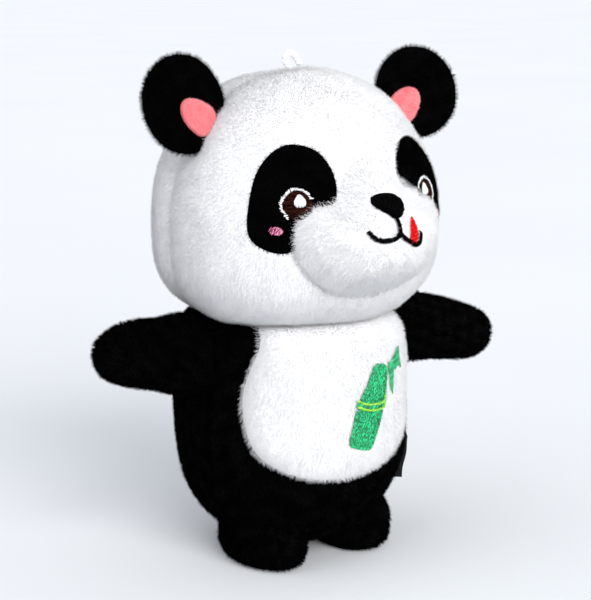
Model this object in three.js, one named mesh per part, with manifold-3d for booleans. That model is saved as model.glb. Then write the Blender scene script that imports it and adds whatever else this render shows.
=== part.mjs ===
// A small standing plush panda, built piece by piece the way a toy maker sews one: plush panels over
// loose filling, appliqued eye patches, embroidered face and belly, cupped ears, stub arms and feet,
// a cord loop on the crown and a folded satin label in the side seam.
// Units are millimetres. +Z is up, the panda faces -Y, and its left hand is at +X.
// The origin is on the ground, in the middle of the toy's overall footprint.
import * as THREE from 'three';
import { mergeVertices } from 'three/addons/utils/BufferGeometryUtils.js';
import Module from 'manifold-3d';

const wasm = await Module();
wasm.setup();

// ---- driving dimensions ------------------------------------------------------------------------
const PLUSH = 1.2; // thickness of backed plush fabric
const FILL_INSET = 2.1; // filling surface below the outside of the plush
const SEAM_GAP = 0.3; // clearance where two pieces touch
const THREAD_PAD = 0.6; // thickness of a satin-stitch pad

// egg-shaped bodies: half widths, half heights above and below the widest level, and squareness
const HEAD = { x: 0, y: 7, z: 112, rx: 47.5, ry: 43.5, up: 48, down: 33.5, upPower: 2.06, downPower: 3.2 };
const TORSO = { x: 0, y: 10, z: 48, rx: 40, ry: 37, up: 29.9, down: 45, upPower: 5, downPower: 2.5 };
const NECK_OPENING_R = 22;
const CORONAL_Y = HEAD.y + 2; // the head's side seam runs over the crown in this plane

const MUZZLE = { z: 109, height: 11.6 };
const EYE = { x: 23.4, z: 122.2, irisR: 4.3 };
const EYE_PATCH = { x: 23.6, z: 123.4, halfWidth: 11.2, halfHeight: 16, lean: -17 };
const MOUTH = { fork: 113.6, cord: 1.4 };
const BELLY = { halfWidth: 31.6, bottom: 31.5 };

const EAR = { baseR: 47.6, angle: 49.5, radius: 14.8, centre: 9, halfThick: 3.3, y: -3, turn: 14 };
const ARM = { rootX: 38.6, z: 70.5, length: 39, halfHeight: 11.6, halfDepth: 10.6, forward: 19 };
const ARM_RAISE = { left: -9, right: 11 }; // the two arms stand at different heights
const FOOT = { x: 16.4, y: 1.8, z: 9, rx: 13, ry: 19.3, up: 12, down: 10.2 };
const LOOP = { cord: 2.2, slit: 0.9, height: 3.4, lean: 24, footing: 1.3 };
const LABEL = { height: 15, width: 14.5, sheet: 0.35, x: 36, y: 12, z: 14.7, tilt: 10, turn: 4 };

// ---- finishes ----------------------------------------------------------------------------------
const finish = (color, roughness, metalness = 0) =>
  new THREE.MeshStandardMaterial({ color, roughness, metalness });
const whitePlush = () => finish(0xf2f1f4, 0.95);
const blackPlush = () => finish(0x0d0d10, 0.95);
const pinkVelour = () => finish(0xf0767c, 0.85);
const filling = () => finish(0xfafafa, 1);
const thread = (color) => finish(color, 0.45);
const satin = (color) => finish(color, 0.35);

// ---- solids ------------------------------------------------------------------------------------
const sign = Math.sign;
const rad = THREE.MathUtils.degToRad;

function bareGeometry(geometry) {
  const bare = geometry.index ? geometry.toNonIndexed() : geometry.clone();
  for (const name of Object.keys(bare.attributes)) {
    if (name !== 'position') bare.deleteAttribute(name);
  }
  return mergeVertices(bare, 1e-4);
}

function solidOf(geometry) {
  const bare = bareGeometry(geometry);
  const index = bare.index.array;
  const kept = [];
  for (let i = 0; i < index.length; i += 3) {
    const [a, b, c] = [index[i], index[i + 1], index[i + 2]];
    if (a !== b && b !== c && c !== a) kept.push(a, b, c);
  }
  return new wasm.Manifold(new wasm.Mesh({
    numProp: 3,
    vertProperties: new Float32Array(bare.attributes.position.array),
    triVerts: new Uint32Array(kept),
  }));
}

function geometryOf(solid) {
  const mesh = solid.getMesh();
  const geometry = new THREE.BufferGeometry();
  geometry.setAttribute('position', new THREE.BufferAttribute(new Float32Array(mesh.vertProperties), 3));
  geometry.setIndex(new THREE.BufferAttribute(new Uint32Array(mesh.triVerts), 1));
  geometry.computeVertexNormals();
  return geometry;
}

// A closed surface swept over longitude and latitude; at(lon, lat) gives a point.
function globe(at, around = 28, up = 12) {
  const points = [];
  for (let j = 0; j <= up; j += 1) {
    const lat = -Math.PI / 2 + (Math.PI * j) / up;
    for (let i = 0; i < around; i += 1) points.push(at((2 * Math.PI * i) / around, lat));
  }
  const index = [];
  for (let j = 0; j < up; j += 1) {
    for (let i = 0; i < around; i += 1) {
      const a = j * around + i;
      const b = j * around + ((i + 1) % around);
      if (j > 0) index.push(a, b, b + around);
      if (j < up - 1) index.push(a, b + around, a + around);
      if (j === 0) index.push(a, b + around, a + around);
      if (j === up - 1) index.push(a, b, b + around);
    }
  }
  const unique = [];
  for (let i = 0; i < index.length; i += 3) {
    const tri = index.slice(i, i + 3);
    const key = tri.join();
    if (!unique.some((other) => other === key)) unique.push(key);
  }
  const geometry = new THREE.BufferGeometry().setFromPoints(points);
  geometry.setIndex(unique.flatMap((key) => key.split(',').map(Number)));
  return geometry;
}

const power = (value, exponent) => sign(value) * Math.abs(value) ** exponent;

// An egg with its own fullness above and below its widest level, shrunk by inset.
function egg(size, inset = 0, around = 28, up = 12) {
  return globe((lon, lat) => {
    const n = 2 / (lat < 0 ? size.downPower : size.upPower);
    const height = lat < 0 ? size.down : size.up;
    const ring = Math.cos(lat) < 1e-9 ? 0 : Math.cos(lat) ** n;
    return new THREE.Vector3(
      size.x + (size.rx - inset) * ring * Math.cos(lon),
      size.y + (size.ry - inset) * ring * Math.sin(lon),
      size.z + (height - inset) * power(Math.sin(lat), n),
    );
  }, around, up);
}

// The front (-Y) surface of an egg at a place seen from the front.
function frontOf(size, x, z) {
  const dz = z - size.z;
  const n = dz < 0 ? size.downPower : size.upPower;
  const height = dz < 0 ? size.down : size.up;
  const ring = Math.max(0, 1 - Math.abs(dz / height) ** n) ** (1 / n);
  return size.y - size.ry * Math.sqrt(Math.max(0.02, ring ** 2 - (x / size.rx) ** 2));
}

// A block between two corners, as a cutting tool.
function block(low, high) {
  const geometry = new THREE.BoxGeometry(high[0] - low[0], high[1] - low[1], high[2] - low[2]);
  geometry.translate((high[0] + low[0]) / 2, (high[1] + low[1]) / 2, (high[2] + low[2]) / 2);
  return solidOf(geometry);
}

// A prism along Y over an outline of [x, z] points.
function prismY(outline, fromY, toY) {
  const shape = new THREE.Shape(outline.map(([x, z]) => new THREE.Vector2(x, z)));
  const geometry = new THREE.ExtrudeGeometry(shape, { depth: toY - fromY, bevelEnabled: false });
  geometry.rotateX(Math.PI / 2);
  geometry.translate(0, toY, 0);
  return solidOf(geometry);
}

// A smooth closed outline through a few [x, z] points.
function smoothOutline(points, count) {
  const curve = new THREE.CatmullRomCurve3(
    points.map(([x, z]) => new THREE.Vector3(x, 0, z)), true, 'centripetal');
  return curve.getPoints(count).slice(0, count).map((p) => [p.x, p.z]);
}

function ellipseOutline(cx, cz, rx, rz, count, leanDegrees = 0) {
  const lean = rad(leanDegrees);
  return Array.from({ length: count }, (_, i) => {
    const a = (2 * Math.PI * i) / count;
    const [u, v] = [rx * Math.cos(a), rz * Math.sin(a)];
    return [cx + u * Math.cos(lean) - v * Math.sin(lean), cz + u * Math.sin(lean) + v * Math.cos(lean)];
  });
}

// A pad lying on a front-facing surface: outline seen from the front, the surface below it, how far
// its underside stands off, and its thickness as a function of the share of the way to the rim.
function pad(outline, surface, lift, thick, rings = 3) {
  const cx = outline.reduce((sum, p) => sum + p[0], 0) / outline.length;
  const cz = outline.reduce((sum, p) => sum + p[1], 0) / outline.length;
  const n = outline.length;
  const points = [];
  const layer = (extra) => {
    for (let r = 0; r <= rings; r += 1) {
      const share = r / rings;
      for (let i = 0; i < (r === 0 ? 1 : n); i += 1) {
        const x = cx + (outline[i][0] - cx) * share;
        const z = cz + (outline[i][1] - cz) * share;
        points.push(new THREE.Vector3(x, surface(x, z) - lift - (extra ? thick(share) : 0), z));
      }
    }
  };
  layer(false);
  layer(true);
  const per = 1 + rings * n;
  const at = (top, r, i) => (top ? per : 0) + (r === 0 ? 0 : 1 + (r - 1) * n + (i % n));
  const index = [];
  const face = (top, a, b, c) => (top ? index.push(a, b, c) : index.push(a, c, b));
  for (const top of [false, true]) {
    for (let i = 0; i < n; i += 1) {
      face(top, at(top, 0, 0), at(top, 1, i), at(top, 1, i + 1));
      for (let r = 1; r < rings; r += 1) {
        face(top, at(top, r, i), at(top, r + 1, i), at(top, r + 1, i + 1));
        face(top, at(top, r, i), at(top, r + 1, i + 1), at(top, r, i + 1));
      }
    }
  }
  for (let i = 0; i < n; i += 1) {
    const [a, b] = [at(false, rings, i), at(false, rings, i + 1)];
    const [c, d] = [at(true, rings, i), at(true, rings, i + 1)];
    index.push(a, b, d, a, d, c);
  }
  const geometry = new THREE.BufferGeometry().setFromPoints(points);
  geometry.setIndex(index);
  const solid = solidOf(geometry);
  return solid.volume() < 0 ? solidOf(flipped(geometry)) : solid;
}

function flipped(geometry) {
  const index = [...geometry.index.array];
  for (let i = 0; i < index.length; i += 3) [index[i + 1], index[i + 2]] = [index[i + 2], index[i + 1]];
  const copy = geometry.clone();
  copy.setIndex(index);
  return copy;
}

// A round cord along points, closed at both ends.
function cord(points, diameter, sides = 8, steps = 24) {
  const path = new THREE.CatmullRomCurve3(points, false, 'centripetal');
  const ring = Array.from({ length: sides }, (_, i) => {
    const a = (2 * Math.PI * i) / sides;
    return new THREE.Vector2((diameter / 2) * Math.cos(a), (diameter / 2) * Math.sin(a));
  });
  return solidOf(new THREE.ExtrudeGeometry(new THREE.Shape(ring), { steps, extrudePath: path }));
}

// ---- the assembly ------------------------------------------------------------------------------
const panda = new THREE.Group();

function addPiece(name, solid, material) {
  const mesh = new THREE.Mesh(geometryOf(solid), material);
  mesh.name = name;
  panda.add(mesh);
  return solid;
}

const FAR = 200; // reach of cutting blocks
const half = SEAM_GAP / 2;
const sides = [['left', 1], ['right', -1]];

// ---- head: face panel, two back panels and filling, open at the neck -----------------------------
function buildHead() {
  const outer = solidOf(egg(HEAD));
  const neck = new THREE.CylinderGeometry(NECK_OPENING_R, NECK_OPENING_R, 12, 24);
  neck.rotateX(Math.PI / 2);
  neck.translate(0, HEAD.y, HEAD.z - HEAD.down);
  const skin = outer.subtract(solidOf(egg(HEAD, PLUSH))).subtract(solidOf(neck));
  const face = block([-FAR, -FAR, -FAR], [FAR, CORONAL_Y - half, FAR]);
  addPiece('face_panel', skin.intersect(face), whitePlush());
  for (const [side, dir] of sides) {
    const low = [dir > 0 ? half : -FAR, CORONAL_Y + half, -FAR];
    const high = [dir > 0 ? FAR : -half, FAR, FAR];
    addPiece(`head_back_panel_${side}`, skin.intersect(block(low, high)), whitePlush());
  }
  addPiece('head_filling', solidOf(egg(HEAD, FILL_INSET, 20, 10)), filling());
}

// The space that the head takes up, with a seam's clearance.
const headRoom = () => solidOf(egg(HEAD, -SEAM_GAP));

// ---- muzzle: a stuffed, wide white panel that overlaps the eye patches ---------------------------
const muzzleOutline = smoothOutline([
  [0, 126], [8, 126], [14, 124.8], [20, 122.6], [26, 119.2], [28, 113.5], [27, 107], [22, 100.5],
  [13, 95.5], [0, 93.2], [-13, 96], [-21, 102], [-24.8, 109], [-24.5, 116], [-20, 120.6], [-13.5, 123], [-8, 125.5],
], 28);
const headFront = (x, z) => frontOf(HEAD, x, z);

function rimShare(x, z) {
  const angle = Math.atan2(z - MUZZLE.z, x);
  let reach = 0;
  for (let i = 0; i < muzzleOutline.length; i += 1) {
    const [ax, az] = muzzleOutline[i];
    const [bx, bz] = muzzleOutline[(i + 1) % muzzleOutline.length];
    const [dx, dz] = [Math.cos(angle), Math.sin(angle)];
    const cross = dx * (bz - az) - dz * (bx - ax);
    const along = (ax * (bz - az) - (az - MUZZLE.z) * (bx - ax)) / cross;
    const part = Math.abs(bx - ax) > Math.abs(bz - az)
      ? (dx * along - ax) / (bx - ax)
      : (dz * along - (az - MUZZLE.z)) / (bz - az);
    if (along > 0 && part >= -1e-6 && part <= 1 + 1e-6) reach = Math.max(reach, along);
  }
  return Math.min(1, Math.hypot(x, z - MUZZLE.z) / reach);
}

const muzzleRise = (share) => MUZZLE.height * (1 - share ** 2.4) ** 0.62;
const muzzleFront = (x, z) => headFront(x, z) - SEAM_GAP - PLUSH * 0.7 - muzzleRise(rimShare(x, z));

const muzzleDome = (extra) =>
  pad(muzzleOutline, headFront, SEAM_GAP, (s) => PLUSH * 0.7 + muzzleRise(s) + extra, 5);

function buildMuzzle() {
  const dome = muzzleDome(0);
  const inside = pad(
    muzzleOutline.map(([x, z]) => [x * 0.9, MUZZLE.z + (z - MUZZLE.z) * 0.88]), headFront, -4,
    (s) => 4 + SEAM_GAP + Math.max(0, muzzleRise(s * 0.93) - PLUSH * 0.9), 4);
  addPiece('muzzle_cover', dome.subtract(inside), whitePlush());
  const fill = pad(
    muzzleOutline.map(([x, z]) => [x * 0.84, MUZZLE.z + (z - MUZZLE.z) * 0.82]), headFront, SEAM_GAP,
    (s) => Math.max(0.5, muzzleRise(s * 0.9) - PLUSH * 1.9), 3);
  addPiece('muzzle_filling', fill, filling());
}

// ---- eyes: black plush patch with an embroidered iris, arc, highlight and cheek spot --------------
function buildEyes() {
  const muzzleRoom = prismY(
    muzzleOutline.map(([x, z]) => [x * 1.03, MUZZLE.z + (z - MUZZLE.z) * 1.03]), -FAR, HEAD.y);
  for (const [side, dir] of sides) {
    const bean = ellipseOutline(
      dir * EYE_PATCH.x, EYE_PATCH.z, EYE_PATCH.halfWidth, EYE_PATCH.halfHeight, 24, -dir * EYE_PATCH.lean);
    const patch = pad(bean, headFront, SEAM_GAP, () => PLUSH);
    addPiece(`eye_patch_${side}`, patch.subtract(muzzleRoom), blackPlush());
    const stitched = (outline, layer) => pad(
      outline, headFront, SEAM_GAP * 2 + PLUSH + layer * (THREAD_PAD + SEAM_GAP), () => THREAD_PAD, 1,
    ).subtract(muzzleRoom);
    const x = dir * EYE.x;
    const iris = ellipseOutline(x, EYE.z, EYE.irisR, EYE.irisR, 16);
    addPiece(`iris_${side}`, stitched(iris, 0), thread(0x4a2f25));
    addPiece(`eye_highlight_${side}`,
      stitched(ellipseOutline(x + 1.2, EYE.z + 1.4, 1.2, 1.7, 10), 1), thread(0xffffff));
    const arc = [];
    for (let i = 0; i <= 8; i += 1) {
      const a = rad(70 + (130 * i) / 8);
      arc.push([x + (EYE.irisR + 1.5) * Math.cos(a), EYE.z + (EYE.irisR + 1.5) * Math.sin(a)]);
    }
    for (let i = 8; i >= 0; i -= 1) {
      const a = rad(70 + (130 * i) / 8);
      arc.push([x + (EYE.irisR + 0.4) * Math.cos(a), EYE.z + (EYE.irisR + 0.4) * Math.sin(a)]);
    }
    addPiece(`eye_arc_${side}`, ribbon(arc, SEAM_GAP * 2 + PLUSH).subtract(muzzleRoom), thread(0xf5f5f5));
    addPiece(`cheek_spot_${side}`,
      stitched(ellipseOutline(dir * 29.9, 115.1, 2.2, 1.4, 12), 0), thread(0xe86a90));
  }
}

// A narrow stitched band: the outline runs out along one edge and back along the other.
function ribbon(outline, lift) {
  const n = outline.length / 2;
  const points = [];
  for (const top of [0, THREAD_PAD]) {
    for (const [x, z] of outline) points.push(new THREE.Vector3(x, headFront(x, z) - lift - top, z));
  }
  const index = [];
  const m = outline.length;
  for (let i = 0; i < n - 1; i += 1) {
    const [a, b, c, d] = [i, i + 1, m - 2 - i, m - 1 - i];
    index.push(a, b, c, a, c, d, a + m, c + m, b + m, a + m, d + m, c + m);
  }
  for (let i = 0; i < m; i += 1) {
    const j = (i + 1) % m;
    index.push(i, j + m, j, i, i + m, j + m);
  }
  const geometry = new THREE.BufferGeometry().setFromPoints(points);
  geometry.setIndex(index);
  const solid = solidOf(geometry);
  return solid.volume() < 0 ? solidOf(flipped(geometry)) : solid;
}

// ---- nose, mouth and tongue, stitched on the muzzle -----------------------------------------------
function buildNoseAndMouth() {
  const cover = muzzleDome(SEAM_GAP);
  const nose = smoothOutline([
    [0.4, 118], [2.4, 118.2], [4.2, 119.6], [4.5, 121.6], [3.4, 123.6], [1.5, 124.6], [-1.2, 124.9],
    [-3.4, 124.5], [-4.7, 123.4], [-4.8, 122], [-3.8, 120.9], [-2.2, 119.9], [-0.9, 118.7],
  ], 18);
  const nosePad = pad(nose, muzzleFront, -0.6, (s) => 2.6 - 0.9 * s ** 3, 2);
  addPiece('nose', nosePad.subtract(cover).subtract(headRoom()), thread(0x101013));

  const lift = SEAM_GAP + MOUTH.cord / 2 + 0.15;
  const onMuzzle = ([x, z]) => new THREE.Vector3(x, muzzleFront(x, z) - lift, z);
  const strokes = [
    [[0.6, 117.2], [0.9, 116], [0.7, MOUTH.fork - 0.3]],
    [[0.7, MOUTH.fork], [-1.4, 112.4], [-4, 111.9], [-6.4, 112.2], [-8, 113.2], [-8.9, 114.6]],
    [[0.7, MOUTH.fork], [2.9, 111.8], [5.6, 110.2], [7.9, 110.6], [9.3, 112.8]],
  ];
  const cords = strokes.map((stroke) => cord(stroke.map(onMuzzle), MOUTH.cord, 6, 8));
  const mouth = cords.reduce((whole, stroke) => whole.add(stroke)).subtract(cover);
  addPiece('mouth', mouth, thread(0x101013));
  const mouthRoom = cord(strokes[2].map(onMuzzle), MOUTH.cord + SEAM_GAP * 2, 6, 8);

  const tongue = smoothOutline([
    [8, 117.4], [6.4, 115.4], [5, 112.9], [4.4, 111.6], [5.4, 111.2], [7, 111.6], [8.4, 113.4], [8.9, 115.6],
  ], 14);
  const tonguePad = pad(tongue, muzzleFront, 0, () => THREAD_PAD + SEAM_GAP, 1).subtract(cover);
  addPiece('tongue', tonguePad.subtract(mouthRoom), thread(0xd8141c));
}

// ---- ears: front and back plush halves of a cupped disc, with a pink inner patch at the base --------
function buildEars() {
  for (const [side, dir] of sides) {
    const lens = (extra) => solidOf(flippedIfInside(globe((lon, lat) => new THREE.Vector3(
      EAR.radius * Math.cos(lat) * Math.cos(lon),
      (EAR.halfThick + extra) * Math.sin(lat),
      EAR.centre + EAR.radius * Math.cos(lat) * Math.sin(lon),
    ), 24, 8)));
    const whole = lens(0);
    const above = block([-FAR, -FAR, 0], [FAR, FAR, FAR]);
    const body = whole.intersect(above);
    const place = (solid) => {
      const turned = geometryOf(solid);
      turned.rotateZ(rad(-dir * EAR.turn));
      turned.translate(0, 0, EAR.baseR + 1.2);
      turned.rotateY(rad(dir * EAR.angle));
      turned.translate(0, HEAD.y + EAR.y, HEAD.z);
      return solidOf(turned);
    };
    const front = body.intersect(block([-FAR, -FAR, 0], [FAR, -half, FAR]));
    const back = body.intersect(block([-FAR, half, 0], [FAR, FAR, FAR]));
    const earFront = (x, z) => {
      const r = Math.hypot(x, z - EAR.centre) / EAR.radius;
      return -EAR.halfThick * Math.sqrt(Math.max(0, 1 - r ** 2));
    };
    const oval = ellipseOutline(0, 0.2, 5.6, 9, 20)
      .filter(([, z]) => z > -1)
      .map(([x, z]) => [x, Math.max(0.4, z)]);
    addPiece(`ear_front_${side}`, place(front), blackPlush());
    addPiece(`ear_back_${side}`, place(back), blackPlush());
    const inner = pad(oval, earFront, 0, () => 1.1, 2).subtract(lens(SEAM_GAP));
    addPiece(`ear_inner_${side}`, place(inner), pinkVelour());
  }
}

function flippedIfInside(geometry) {
  return solidOf(geometry).volume() < 0 ? flipped(geometry) : geometry;
}

// ---- torso: belly panel, two side-and-back panels and filling -------------------------------------
const bellyOutline = smoothOutline([
  [0, BELLY.bottom], [13, BELLY.bottom + 1.6], [24, 37.5], [30.4, 47], [BELLY.halfWidth, 59],
  [30.4, 68], [27, 76], [25, 88], [0, 90], [-25, 88], [-27, 76], [-30.4, 68],
  [-BELLY.halfWidth, 59], [-30.4, 47], [-24, 37.5], [-13, BELLY.bottom + 1.6],
], 30);
const torsoFront = (x, z) => frontOf(TORSO, x, z);

function torsoSkin(inset = 0) {
  return solidOf(egg(TORSO, inset, 28, 12));
}

function buildTorso() {
  const neck = new THREE.CylinderGeometry(NECK_OPENING_R, NECK_OPENING_R, 12, 24);
  neck.rotateX(Math.PI / 2);
  neck.translate(0, TORSO.y, TORSO.z + TORSO.up);
  const skin = torsoSkin().subtract(torsoSkin(PLUSH)).subtract(solidOf(neck));
  addPiece('belly_panel', skin.intersect(prismY(bellyOutline, -FAR, TORSO.y - 10)), whitePlush());
  const grown = bellyOutline.map(([x, z]) => [x * 1.012, 60 + (z - 60) * 1.014]);
  const rest = skin.subtract(prismY(grown, -FAR, TORSO.y - 10 + half * 2));
  for (const [side, dir] of sides) {
    const low = [dir > 0 ? half : -FAR, -FAR, -FAR];
    const high = [dir > 0 ? FAR : -half, FAR, FAR];
    addPiece(`body_side_panel_${side}`, rest.intersect(block(low, high)), blackPlush());
  }
  addPiece('body_filling', solidOf(egg(TORSO, FILL_INSET, 20, 10)), filling());

  const stitches = [];
  for (let i = 0; i <= 24; i += 1) {
    const z = 34 + i;
    const back = 2 * TORSO.y - frontOf(TORSO, 0, z);
    stitches.push(new THREE.Vector3(i % 2 ? 1.1 : -1.1, back + SEAM_GAP + 0.45, z));
  }
  addPiece('back_closing_stitches', cord(stitches, 0.6, 4, 36), thread(0x101013));
}

// ---- bamboo embroidery on the belly ----------------------------------------------------------------
function buildBamboo() {
  const stitched = (outline, layer = 0) => pad(
    outline, torsoFront, SEAM_GAP + layer * (THREAD_PAD + SEAM_GAP), () => THREAD_PAD, 1);
  const lower = [
    [-2.2, 44.6], [-1.2, 43], [2.4, 41.6], [5.6, 41], [7, 42.2], [8.8, 46], [10.6, 52.9],
    [0.8, 54.6], [-0.8, 50.2],
  ];
  const upper = [
    [2.4, 58.8], [12.4, 57], [13.1, 60.3], [13.7, 64.5], [13.4, 66.6], [11.6, 67.8], [8.4, 68.2], [6.8, 66.4],
    [4.9, 62.3],
  ];
  const ring = [
    [0, 56.1], [3.2, 54.6], [7.4, 53.8], [11.4, 53.8], [12.2, 56.4], [7.4, 56.4], [3.4, 57.2], [1.2, 58],
  ];
  const longLeaf = [
    [14.4, 67.6], [15.3, 67.6], [16.8, 64], [17.1, 59.5], [16.6, 56.6], [15.6, 59.5], [14.8, 63.5],
  ];
  const shortLeaf = [
    [15.8, 68.6], [17.8, 70], [19.8, 72], [20.8, 68.6], [21.8, 64.2], [19.9, 65.8], [18.2, 66],
  ];
  addPiece('bamboo_stalk_lower', stitched(lower), thread(0x1f9b57));
  addPiece('bamboo_stalk_upper', stitched(upper), thread(0x1f9b57));
  addPiece('bamboo_ring', stitched(ring, 1), thread(0x8fd14a));
  addPiece('bamboo_leaf_long', stitched(longLeaf), thread(0x14854a));
  addPiece('bamboo_leaf_short', stitched(shortLeaf), thread(0x14854a));
}

// ---- arms: stuffed stubs sewn to the sides, open at the shoulder ------------------------------------
function buildArms() {
  for (const [side, dir] of sides) {
    const stub = (inset, around, up) => {
      const reach = ARM.length / 2 - inset;
      const shape = globe((lon, lat) => {
        const n = 2 / 2.7;
        const ring = Math.cos(lat) < 1e-9 ? 0 : Math.cos(lat) ** n;
        const taper = 1 - 0.1 * Math.sin(lat);
        return new THREE.Vector3(
          (ARM.halfDepth - inset) * ring * taper * Math.cos(lon),
          (ARM.halfHeight - inset) * ring * taper * Math.sin(lon),
          ARM.length / 2 + reach * power(Math.sin(lat), n),
        );
      }, around, up);
      shape.rotateZ(Math.PI / 2);
      shape.rotateY(Math.PI / 2);
      shape.rotateY(rad(-ARM_RAISE[side]));
      shape.rotateZ(rad(-ARM.forward));
      if (dir < 0) {
        shape.scale(-1, 1, 1);
      }
      const solid = flippedIfInside(shape);
      solid.translate(dir * ARM.rootX, TORSO.y, ARM.z);
      return solidOf(solid);
    };
    const opening = block(
      [dir > 0 ? ARM.rootX - 20 : -ARM.rootX - 3.2, -FAR, -FAR],
      [dir > 0 ? ARM.rootX + 3.2 : -ARM.rootX + 20, FAR, FAR]);
    const skin = stub(0, 16, 8).subtract(stub(PLUSH, 16, 8));
    addPiece(`arm_skin_${side}`, skin.subtract(opening), blackPlush());
    addPiece(`arm_filling_${side}`, stub(FILL_INSET, 12, 6), filling());
  }
}

// ---- feet: stuffed stubs under the body, flat where they stand --------------------------------------
function buildFeet() {
  const bodyRoom = solidOf(egg(TORSO, -SEAM_GAP - 0.3, 28, 12));
  for (const [side, dir] of sides) {
    const stub = (inset, around = 18, up = 8) => solidOf(egg({
      x: dir * FOOT.x, y: FOOT.y, z: FOOT.z, rx: FOOT.rx, ry: FOOT.ry, up: FOOT.up, down: FOOT.down,
      upPower: 2.6, downPower: 3.4,
    }, inset, around, up));
    const floor = (z) => block([-FAR, -FAR, -FAR], [FAR, FAR, z]);
    const outer = stub(0).subtract(floor(0)).subtract(bodyRoom);
    const inner = stub(PLUSH).subtract(floor(PLUSH));
    addPiece(`foot_skin_${side}`, outer.subtract(inner), blackPlush());
    const stuffing = stub(FILL_INSET, 14, 6).subtract(floor(FILL_INSET)).subtract(bodyRoom);
    addPiece(`foot_filling_${side}`, stuffing, filling());
  }
}

// ---- hanging loop on the crown and the folded label in the side seam --------------------------------
function buildLoop() {
  const top = HEAD.z + HEAD.up;
  const reach = (LOOP.slit + LOOP.cord) / 2;
  const rise = LOOP.height;
  const points = [[-reach, 0], [-reach - 0.5, rise * 0.4], [-reach, rise * 0.8], [0, rise],
    [reach, rise * 0.8], [reach + 0.5, rise * 0.4], [reach, 0]];
  const lean = rad(-LOOP.lean);
  const path = points.map(([u, v]) => {
    const x = u * Math.cos(lean) + v * Math.sin(lean);
    const z = v * Math.cos(lean) - u * Math.sin(lean);
    return new THREE.Vector3(x, CORONAL_Y, top + LOOP.footing + z);
  });
  addPiece('hanging_loop', cord(path, LOOP.cord, 8, 20), satin(0xf4f4f2));
}

function buildLabel() {
  const outline = [];
  const [w, t, gap] = [LABEL.width, LABEL.sheet, 0.5];
  const bend = (gap + t * 2) / 2;
  outline.push([0, -gap / 2 - t], [w - bend, -gap / 2 - t]);
  for (let i = 1; i < 6; i += 1) {
    const a = -Math.PI / 2 + (Math.PI * i) / 6;
    outline.push([w - bend + bend * Math.cos(a), bend * Math.sin(a)]);
  }
  outline.push([w - bend, gap / 2 + t], [0, gap / 2 + t], [0, gap / 2], [w - bend, gap / 2]);
  for (let i = 5; i > 0; i -= 1) {
    const a = -Math.PI / 2 + (Math.PI * i) / 6;
    outline.push([w - bend + (gap / 2) * Math.cos(a), (gap / 2) * Math.sin(a)]);
  }
  outline.push([w - bend, -gap / 2], [0, -gap / 2]);
  const shape = new THREE.Shape(outline.map(([x, y]) => new THREE.Vector2(x, y)));
  const geometry = new THREE.ExtrudeGeometry(shape, { depth: LABEL.height, bevelEnabled: false });
  geometry.rotateZ(rad(LABEL.turn));
  geometry.rotateY(rad(LABEL.tilt));
  geometry.translate(LABEL.x, LABEL.y, LABEL.z);
  addPiece('care_label', solidOf(geometry), satin(0x0a0a0c));
}

buildHead();
buildMuzzle();
buildEyes();
buildNoseAndMouth();
buildEars();
buildTorso();
buildBamboo();
buildArms();
buildFeet();
buildLoop();
buildLabel();

export default panda;
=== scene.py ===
"""A small standing plush panda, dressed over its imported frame.

The skins are sewn plush with a real cut pile, the face and the bamboo are embroidery laid stitch by
stitch, the ears are cupped, and loose stuffing lies inside.  Sizes in the classes are millimetres,
and every mesh is written in metres.  The panda faces -Y and its left hand is at +X.
"""

import logging
import math
from dataclasses import dataclass, field
from enum import Enum
from typing import Callable, Optional

import bpy
import numpy as np
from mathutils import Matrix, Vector
from mathutils.bvhtree import BVHTree


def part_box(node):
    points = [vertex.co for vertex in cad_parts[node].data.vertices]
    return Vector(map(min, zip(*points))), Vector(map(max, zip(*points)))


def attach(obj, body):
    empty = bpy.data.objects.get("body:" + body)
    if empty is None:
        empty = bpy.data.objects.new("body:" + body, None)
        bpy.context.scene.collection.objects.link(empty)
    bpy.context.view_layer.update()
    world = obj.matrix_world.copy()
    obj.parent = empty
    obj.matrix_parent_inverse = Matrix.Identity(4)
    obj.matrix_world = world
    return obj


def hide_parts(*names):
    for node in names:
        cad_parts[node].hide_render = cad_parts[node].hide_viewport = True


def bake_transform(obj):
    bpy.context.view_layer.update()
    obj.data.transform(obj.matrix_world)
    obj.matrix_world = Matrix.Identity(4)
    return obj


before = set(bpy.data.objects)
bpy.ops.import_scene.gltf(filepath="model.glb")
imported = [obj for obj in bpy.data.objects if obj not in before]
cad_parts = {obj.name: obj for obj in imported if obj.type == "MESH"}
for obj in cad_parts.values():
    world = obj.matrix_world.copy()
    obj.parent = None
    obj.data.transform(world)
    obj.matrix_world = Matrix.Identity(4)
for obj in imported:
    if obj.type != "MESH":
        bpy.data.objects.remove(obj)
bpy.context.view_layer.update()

log = logging.getLogger("panda")
MM = 0.001  # one millimetre in metres
PILE_RISE = 1.1  # the skins lie this far below the outside of the toy, and the hairs fill the rest
SWELL = 1.0  # how far the stuffing pushes the cloth out between the seams
FORM_INSET = PILE_RISE + 0.9 * SWELL  # the forms start this far inside the toy, before they swell
FINE, MEDIUM, COARSE = 7, 6, 5  # how finely a ball is divided before it is shaped
ROOT_DEPTH = 0.25  # each hair starts this far inside its cloth
SHORTEST = 0.15  # hairs trimmed to less than this share of their length are left out
FRONT = np.array([0.0, -1.0, 0.0])
UP = np.array([0.0, 0.0, 1.0])
Array = np.ndarray
Object = bpy.types.Object
Field = Callable[[Array], Array]


class Side(Enum):
    """The panda's own left or right; the value is the sign of X there."""

    LEFT = 1
    RIGHT = -1

    @property
    def word(self) -> str:
        """The side as it stands in a piece's name."""
        return self.name.lower()


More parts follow.
